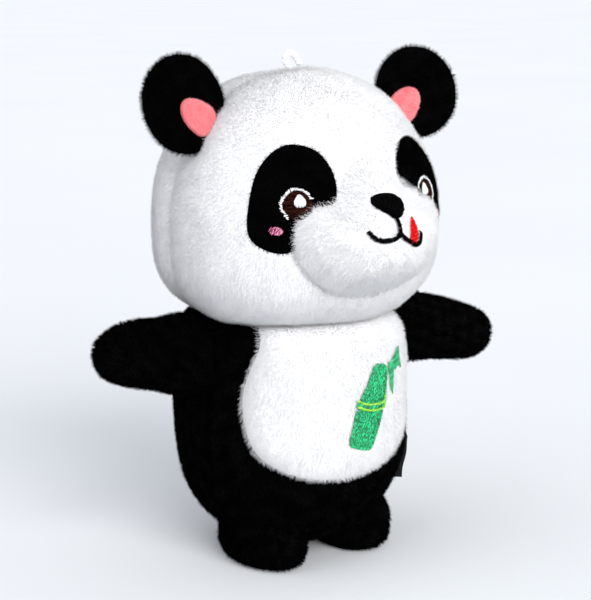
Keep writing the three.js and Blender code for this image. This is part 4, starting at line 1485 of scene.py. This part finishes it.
@dataclass
class Torso:
    """The body: a white belly panel and two black side panels over a stuffed egg."""

    shape: Egg = Egg(0.0, 10.0, 48.0, 40.0, 37.0, 36.2, 45.0, 7.5, 2.5)
    cloth: float = 0.9
    gap: float = 0.15
    fill: float = 0.85
    closing: tuple = (33.5, 58.5)
    closing_half_width: float = 1.5
    black: Pile = Pile(BLACK_HAIR, length=1.7, lean=48.0, density=3.6, width=0.34)
    white: Pile = Pile(WHITE_HAIR, length=1.7)
    form: Object = field(init=False)
    ground: Ground = field(init=False)
    rim: Array = field(init=False)
    stitched_spots: tuple[tuple[tuple[float, float, float], float], ...] = (
        ((38.6, 10.0, 70.5), 17.0), ((-38.6, 10.0, 70.5), 17.0), ((37.0, 12.0, 22.0), 10.0),
    )

    def __post_init__(self) -> None:
        """Shapes the whole body, which the panels are cut from."""
        self.rim = closed_curve(BELLY, 120)
        self.form = self.shape.shrunk(FORM_INSET).form("torso_form", MEDIUM)
        self.form = blown_up(self.form, self.seams, SWELL)
        points = points_of(self.form)
        out = normals_of(self.form)
        dent = 0.3 * self.seams(points) - 0.3 * waves(points, 17.0, 12)
        place_points(self.form, points - out * dent[:, None])
        self.ground = Ground(self.form)

    def seams(self, places: Array) -> Array:
        """How close places are to the seams, from 0 to 1."""
        edge = inside_by(self.rim, places[:, [0, 2]])
        groove = np.exp(-np.abs(edge / 3.0) ** 1.5) * (places[:, 1] < self.shape.y)
        back = np.exp(-np.abs(places[:, 0] / 4.0) ** 1.5) * (places[:, 1] > self.shape.y)
        held = np.maximum(groove, back)
        for (x, y, z), reach in self.stitched_spots:
            gap = np.linalg.norm(places - np.array([x, y, z]), axis=1)
            held = np.maximum(held, np.exp(-((gap / reach) ** 6)))
        return held

    def trim_black(self, places: Array) -> Array:
        """Black hair is left off under the belly panel and kept short along the closed seam behind."""
        under = smoothstep(0.2, -0.7, inside_by(self.rim, places[:, [0, 2]]))
        length = np.where(places[:, 1] < self.shape.y, under, 1.0)
        low, high = self.closing
        seam = (np.abs(places[:, 0]) < self.closing_half_width) & (places[:, 1] > 20.0)
        seam &= (places[:, 2] > low) & (places[:, 2] < high)
        return np.where(seam, 0.45 * length, length)

    def trim_white(self, places: Array) -> Array:
        """White hair is left off under the bamboo."""
        flat = places[:, [0, 2]]
        clear = np.ones(len(places))
        for outline in (STALK_LOWER, STALK_UPPER, LEAF_LONG, LEAF_SHORT):
            clear *= smoothstep(0.4, -0.5, inside_by(closed_curve(outline, 48), flat))
        return clear * smoothstep(0.6, 1.4, from_line(open_curve(NODE_RING, 24), flat))

    def finish_panel(self, name: str, skin: Object, pile: Object, cloth: ClothFinish) -> None:
        """Gives a panel its cloth and lets it ride on the body."""
        thickened(skin, self.cloth)
        for piece in (skin, pile):
            dress(piece, cloth)
            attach(piece, "torso")
            report(piece)
        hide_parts(name)

    def build(self) -> None:
        """Cuts the side panels, lays the belly panel, stuffs the body and closes the back seam."""
        for side in Side:
            name = f"body_side_panel_{side.word}"
            middle = ((side.value * self.gap, 0, 0), (-side.value, 0, 0))
            skin = bisected(self.form, name + "_cloth", [middle])
            pile = self.black.grow(name + "_pile", skin, downwards, 160 + side.value, self.trim_black,
                                   floor=0.4)
            self.finish_panel(name, skin, pile, BLACK_CLOTH)
        belly = laid_patch("belly_panel_cloth", self.rim, (0.0, 57.0), self.ground,
                           lambda s, _: 0.55 - 0.9 * np.maximum(0.0, (s - 0.93) / 0.07) ** 2, rings=40)
        pile = self.white.grow("belly_panel_pile", belly, downwards, 170, self.trim_white)
        self.sew_bamboo(Ground(belly))
        self.finish_panel("belly_panel", belly, pile, WHITE_CLOTH)
        fluff = stuffing("body_stuffing", self.shape.shrunk(3.6), 33)
        pack_in(fluff, "torso", "body_filling")
        self.close_back()
        drop(self.form)

    def close_back(self) -> None:
        """Sews the stuffing hole at the back shut with a row of slanted hand stitches."""
        black = Thread(SEAM_BLACK, Slot.BLACK_THREAD, width=0.5, arch=0.25)
        low, high = self.closing
        levels = np.arange(low + 1.0, high - 0.5, 1.3)
        rows = [(np.array([-1.3, z]), np.array([1.3, z + 0.7])) for z in levels]
        seam = black.sew("back_closing_ladder", rows, self.ground, 0.7, 220, behind=True)
        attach(seam, "torso")
        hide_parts("back_closing_stitches")
        report(seam)

    def sew_bamboo(self, ground: Ground) -> None:
        """Embroiders the two stalks, the ring between them and the leaves."""
        green = Thread(LEAF_SILK, Slot.GREEN_THREAD, width=0.4, pitch=0.42, reach=0.85, arch=0.34,
                       fray=0.16)
        edge = Thread(LEAF_SILK, Slot.GREEN_THREAD, width=0.36, pitch=0.34, fray=0.08)
        dark = Thread(DARK_SILK, Slot.DARK_GREEN_THREAD, width=0.38, pitch=0.28, reach=6.0, fray=0.1)
        lime = Thread(LIME_SILK, Slot.LIME_THREAD, width=0.38, pitch=0.36, fray=0.1)
        made = {}
        for node, outline in (("bamboo_stalk_lower", STALK_LOWER), ("bamboo_stalk_upper", STALK_UPPER)):
            rim = closed_curve(outline, 64)
            middle = rim.mean(axis=0)
            inner = middle + (rim - middle) * 0.93
            round_edge = edge.band(np.vstack([inner, inner[:1]]), 1.0, 0.3)
            # The underlay is the same green thread painted dark, a painted shade that shows in the gaps
            # between the fill stitches; the edge and the ring bed also reach below 0, painted shade on their
            # darker stitches.
            under = edge.sew(node + "_under", edge.rows(rim, -30.0), ground, 0.35, 229, glint_and_shade=(-0.4, -0.2))
            fill = green.sew(node + "_fill", green.rows(rim, 58.0), ground, 0.55, 230, glint_and_shade=(0.0, 1.2))
            border = edge.sew(node + "_edge", round_edge, ground, 0.85, 231, glint_and_shade=(-0.2, 0.8))
            made[node] = joined(node + "_satin", [under, fill, border])
        ring = open_curve(NODE_RING, 40)
        bed = edge.sew("bamboo_ring_bed", edge.band(ring, 2.3, 0.3), ground, 1.0, 232, glint_and_shade=(-0.2, 0.7))
        lines = []
        for row, step in enumerate((-0.95, 0.95)):
            stitches = lime.band(ring + np.array([0.0, step]), 0.6, 0.5)
            lines.append(lime.sew(f"bamboo_ring_line_{row}", stitches, ground, 1.3, 233 + row))
        made["bamboo_ring"] = joined("bamboo_ring_satin", [*lines, bed])
        for node, outline in (("bamboo_leaf_long", LEAF_LONG), ("bamboo_leaf_short", LEAF_SHORT)):
            stitches = dark.rows(closed_curve(outline, 56), 20.0)
            made[node] = dark.sew(node + "_satin", stitches, ground, 0.8, 236)
        for node, piece in made.items():
            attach(piece, "torso")
            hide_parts(node)
            report(piece)


@dataclass
class Arm:
    """One stuffed arm stub, sewn to the side of the body at its own height."""

    side: Side
    raise_by: float
    root: tuple = (38.6, 10.0, 70.5)
    length: float = 39.0
    half_height: float = 11.6
    half_depth: float = 10.6
    forward: float = 19.0
    tuck: float = 9.0
    flare: float = 0.26
    squareness: float = 3.3
    cut_x: float = 33.5
    fill: float = 0.8
    pile: Pile = Pile(BLACK_HAIR, length=1.7, lean=48.0, density=3.8, width=0.34)

    def placed(self, points: Array) -> Array:
        """Puts points of the arm's own frame, which runs along +X, on the body's side."""
        points = turned(points, "Y", -self.raise_by)
        points = turned(points, "Z", -self.forward)
        points = points * np.array([self.side.value, 1.0, 1.0])
        return points + np.array([self.side.value * self.root[0], self.root[1], self.root[2]])

    def shaped(self, ways: Array, inset: float, tuck: float) -> Array:
        """The stub's surface along directions of a unit ball, in the arm's own frame."""
        ring = np.hypot(ways[:, 1], ways[:, 2])
        power = self.squareness
        reach = (ring**power + np.abs(ways[:, 0]) ** power) ** (-1.0 / power)
        flat = ways * reach[:, None]
        taper = 1.0 - 0.1 * flat[:, 0] + self.flare * smoothstep(0.15, -0.8, flat[:, 0])
        half = (self.length + tuck) / 2
        return np.stack([
            half - tuck + (half - inset) * flat[:, 0],
            (self.half_depth - inset) * flat[:, 1] * taper,
            (self.half_height - inset) * flat[:, 2] * taper,
        ], axis=1)

    def outwards(self, places: Array) -> Array:
        """Hair runs from the shoulder to the paw and down."""
        return np.broadcast_to(np.array([self.side.value * 0.9, -0.3, -0.45]), places.shape).copy()

    def build(self) -> None:
        """Shapes the stub, gives it cloth, pile and stuffing, and sews it to the body."""
        word = self.side.word
        form = ball(f"arm_form_{word}", MEDIUM)
        points = self.shaped(unit(points_of(form)), PILE_RISE, self.tuck)
        place_points(form, points)
        points += normals_of(form) * (0.3 * waves(points, 12.0, 51 + self.side.value))[:, None]
        place_points(form, self.placed(points))
        if self.side is Side.RIGHT:
            form.data.flip_normals()
        root = ((self.side.value * self.cut_x, 0, 0), (-self.side.value, 0, 0))
        skin = bisected(form, f"arm_skin_{word}_cloth", [root])
        drop(form)
        pile = self.pile.grow(f"arm_skin_{word}_pile", skin, self.outwards, 180 + self.side.value)
        thickened(skin, 0.9)
        for piece in (skin, pile):
            dress(piece, BLACK_CLOTH)
            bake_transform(piece)
            report(piece)
        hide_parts(f"arm_skin_{word}")
        fluff = ball(f"arm_stuffing_{word}", COARSE)
        place_points(fluff, self.placed(self.shaped(unit(points_of(fluff)), 3.2, 0.0)))
        if self.side is Side.RIGHT:
            fluff.data.flip_normals()
        dress(smooth(fluff), FillingFinish())
        pack_in(fluff, f"arm_{word}", f"arm_filling_{word}")


@dataclass
class Foot:
    """One stuffed foot under the body, flattened where it stands."""

    side: Side
    x: float = 16.4
    y: float = 1.8
    z: float = 9.0
    rx: float = 13.0
    ry: float = 19.3
    up: float = 12.0
    down: float = 10.2
    fill: float = 0.8
    pile: Pile = Pile(BLACK_HAIR, length=1.6, lean=50.0, density=3.8, width=0.34)

    def forwards(self, places: Array) -> Array:
        """Hair runs forwards over the foot and down its sides."""
        way = places - np.array([self.side.value * self.x, self.y + 14.0, self.z + 6.0])
        way[:, 2] *= 0.6
        return way

    def trim(self, places: Array) -> Array:
        """Hair is pressed short where the foot stands."""
        return smoothstep(0.1, 1.6, places[:, 2]) + 0.16

    def build(self) -> None:
        """Shapes the foot, gives it cloth, pile and stuffing."""
        word = self.side.word
        x = self.side.value * self.x
        egg = Egg(x, self.y, self.z, self.rx, self.ry, self.up, self.down, 2.6, 3.4).shrunk(PILE_RISE)
        skin = egg.form(f"foot_skin_{word}_cloth")
        points = points_of(skin)
        points += normals_of(skin) * (0.25 * waves(points, 9.0, 61 + self.side.value))[:, None]
        points[:, 2] = np.maximum(points[:, 2] - PILE_RISE * smoothstep(6.0, 0.5, points[:, 2]), 0.15)
        place_points(skin, points)
        pile = self.pile.grow(f"foot_skin_{word}_pile", skin, self.forwards, 190 + self.side.value, self.trim,
                              floor=0.02)
        smooth(skin)
        for piece in (skin, pile):
            dress(piece, BLACK_CLOTH)
            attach(piece, "torso")
            report(piece)
        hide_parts(f"foot_skin_{word}")
        fluff = stuffing(f"foot_stuffing_{word}", egg.shrunk(1.9), 63)
        pack_in(fluff, "torso", f"foot_filling_{word}")


# ---- loop and label --------------------------------------------------------------------------------
@dataclass
class HangingLoop:
    """The short loop of white cord in the crown seam: two plies twisted round each other."""

    crown: float = 160.0
    seam_y: float = 9.0
    cord: float = 2.3
    slit: float = 0.9
    height: float = 2.7
    lean: float = 28.0
    twists: float = 5.0
    ply_radius: float = 0.62
    ply_offset: float = 0.5

    def middle(self) -> Array:
        """The middle line of the cord, from inside the head and back into it."""
        reach = (self.slit + self.cord) / 2
        rise = self.height
        flat = open_curve([
            (-reach, -2.5), (-reach - 0.2, 0.6), (-reach - 0.4, rise * 0.5), (-reach * 0.8, rise * 0.95),
            (0.0, rise + 0.4), (reach * 0.8, rise * 0.95), (reach + 0.4, rise * 0.5),
            (reach + 0.5, 0.6), (reach + 0.9, -2.5)], 90)
        line = np.stack([flat[:, 0], np.zeros(len(flat)), flat[:, 1] + 0.9], axis=1)
        return turned(line, "Y", -self.lean) + np.array([0.0, self.seam_y, self.crown])

    def build(self) -> None:
        """Twists the two plies along the loop."""
        line = self.middle()
        along = unit(np.gradient(line, axis=0))
        side = unit(np.cross(along, np.array([0.0, 1.0, 0.0])))
        over = np.cross(side, along)
        turns = np.linspace(0.0, 2.0 * math.pi * self.twists, len(line))
        points, faces = [], []
        for phase in (0.0, math.pi):
            twist = side * np.cos(turns + phase)[:, None] + over * np.sin(turns + phase)[:, None]
            ply_points, ply_faces = tube(line + twist * self.ply_offset, self.ply_radius, 10)
            offset = sum(len(p) for p in points)
            points.append(ply_points)
            faces += [tuple(k + offset for k in face) for face in ply_faces]
        piece = smooth(new_piece("hanging_loop_cord", np.vstack(points), faces))
        take(piece)
        bpy.ops.object.mode_set(mode="EDIT")
        bpy.ops.mesh.select_all(action="SELECT")
        bpy.ops.mesh.normals_make_consistent(inside=False)
        bpy.ops.object.mode_set(mode="OBJECT")
        dress(piece, CORD_GLOSS)
        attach(piece, "loop")
        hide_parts("hanging_loop")
        report(piece)


@dataclass
class CareLabel:
    """The folded satin label, blank, sewn into the side seam low down behind the left arm."""

    height: float = 15.0
    width: float = 14.5
    sheet: float = 0.25
    root: tuple = (36.0, 12.0, 14.7)
    tilt: float = 10.0
    turn: float = 4.0
    bend: float = 0.55
    short: float = 1.2

    def build(self) -> None:
        """Folds the ribbon in two, with its free end a little askew."""
        bpy.ops.object.select_all(action="DESELECT")
        bpy.ops.mesh.primitive_grid_add(x_subdivisions=48, y_subdivisions=14, size=1.0)
        piece = bpy.context.object
        piece.name = "care_label_ribbon"
        piece.data.name = "care_label_ribbon"
        flat = points_of(piece) * MM
        run = (flat[:, 0] + 0.5) * (2 * self.width) - self.width
        quarter = self.bend * math.pi / 2
        turn = np.clip(np.abs(run) / quarter, 0.0, 1.0) * math.pi / 2
        far = self.width - self.short
        out = np.where(np.abs(run) < quarter, far - self.bend * (1 - np.cos(turn)),
                       far - self.bend - (np.abs(run) - quarter))
        across = np.sign(run) * self.bend * np.sin(turn)
        up = (flat[:, 1] + 0.5) * self.height
        up = up + np.where(run > 0, 0.9 * (out / far) ** 2, -0.5 * (out / far) ** 2)
        across += 0.35 * np.sin(up * 0.55) * (out / far) + np.where(run > 0, 0.5, 0.0) * (out / far)
        points = turned(np.stack([out, across, up], axis=1), "Z", self.turn)
        place_points(piece, turned(points, "Y", self.tilt) + np.array(self.root))
        thickened(piece, self.sheet)
        dress(piece, LABEL_SATIN)
        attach(piece, "label")
        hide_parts("care_label")
        report(piece)


def main() -> None:
    """Builds the room and the panda, piece by piece."""
    logging.basicConfig(level=logging.INFO, format="%(message)s")
    Studio().build()
    head = Head()
    muzzle = Muzzle(head)
    NoseAndMouth(muzzle).build()
    for side in Side:
        Eye(side, head).build()
    muzzle.build()
    head.build()
    for side in Side:
        Ear(side).build()
    Torso().build()
    Arm(Side.LEFT, -9.0).build()
    Arm(Side.RIGHT, 11.0).build()
    for side in Side:
        Foot(side).build()
    HangingLoop().build()
    CareLabel().build()


if __name__ == "__main__":
    main()
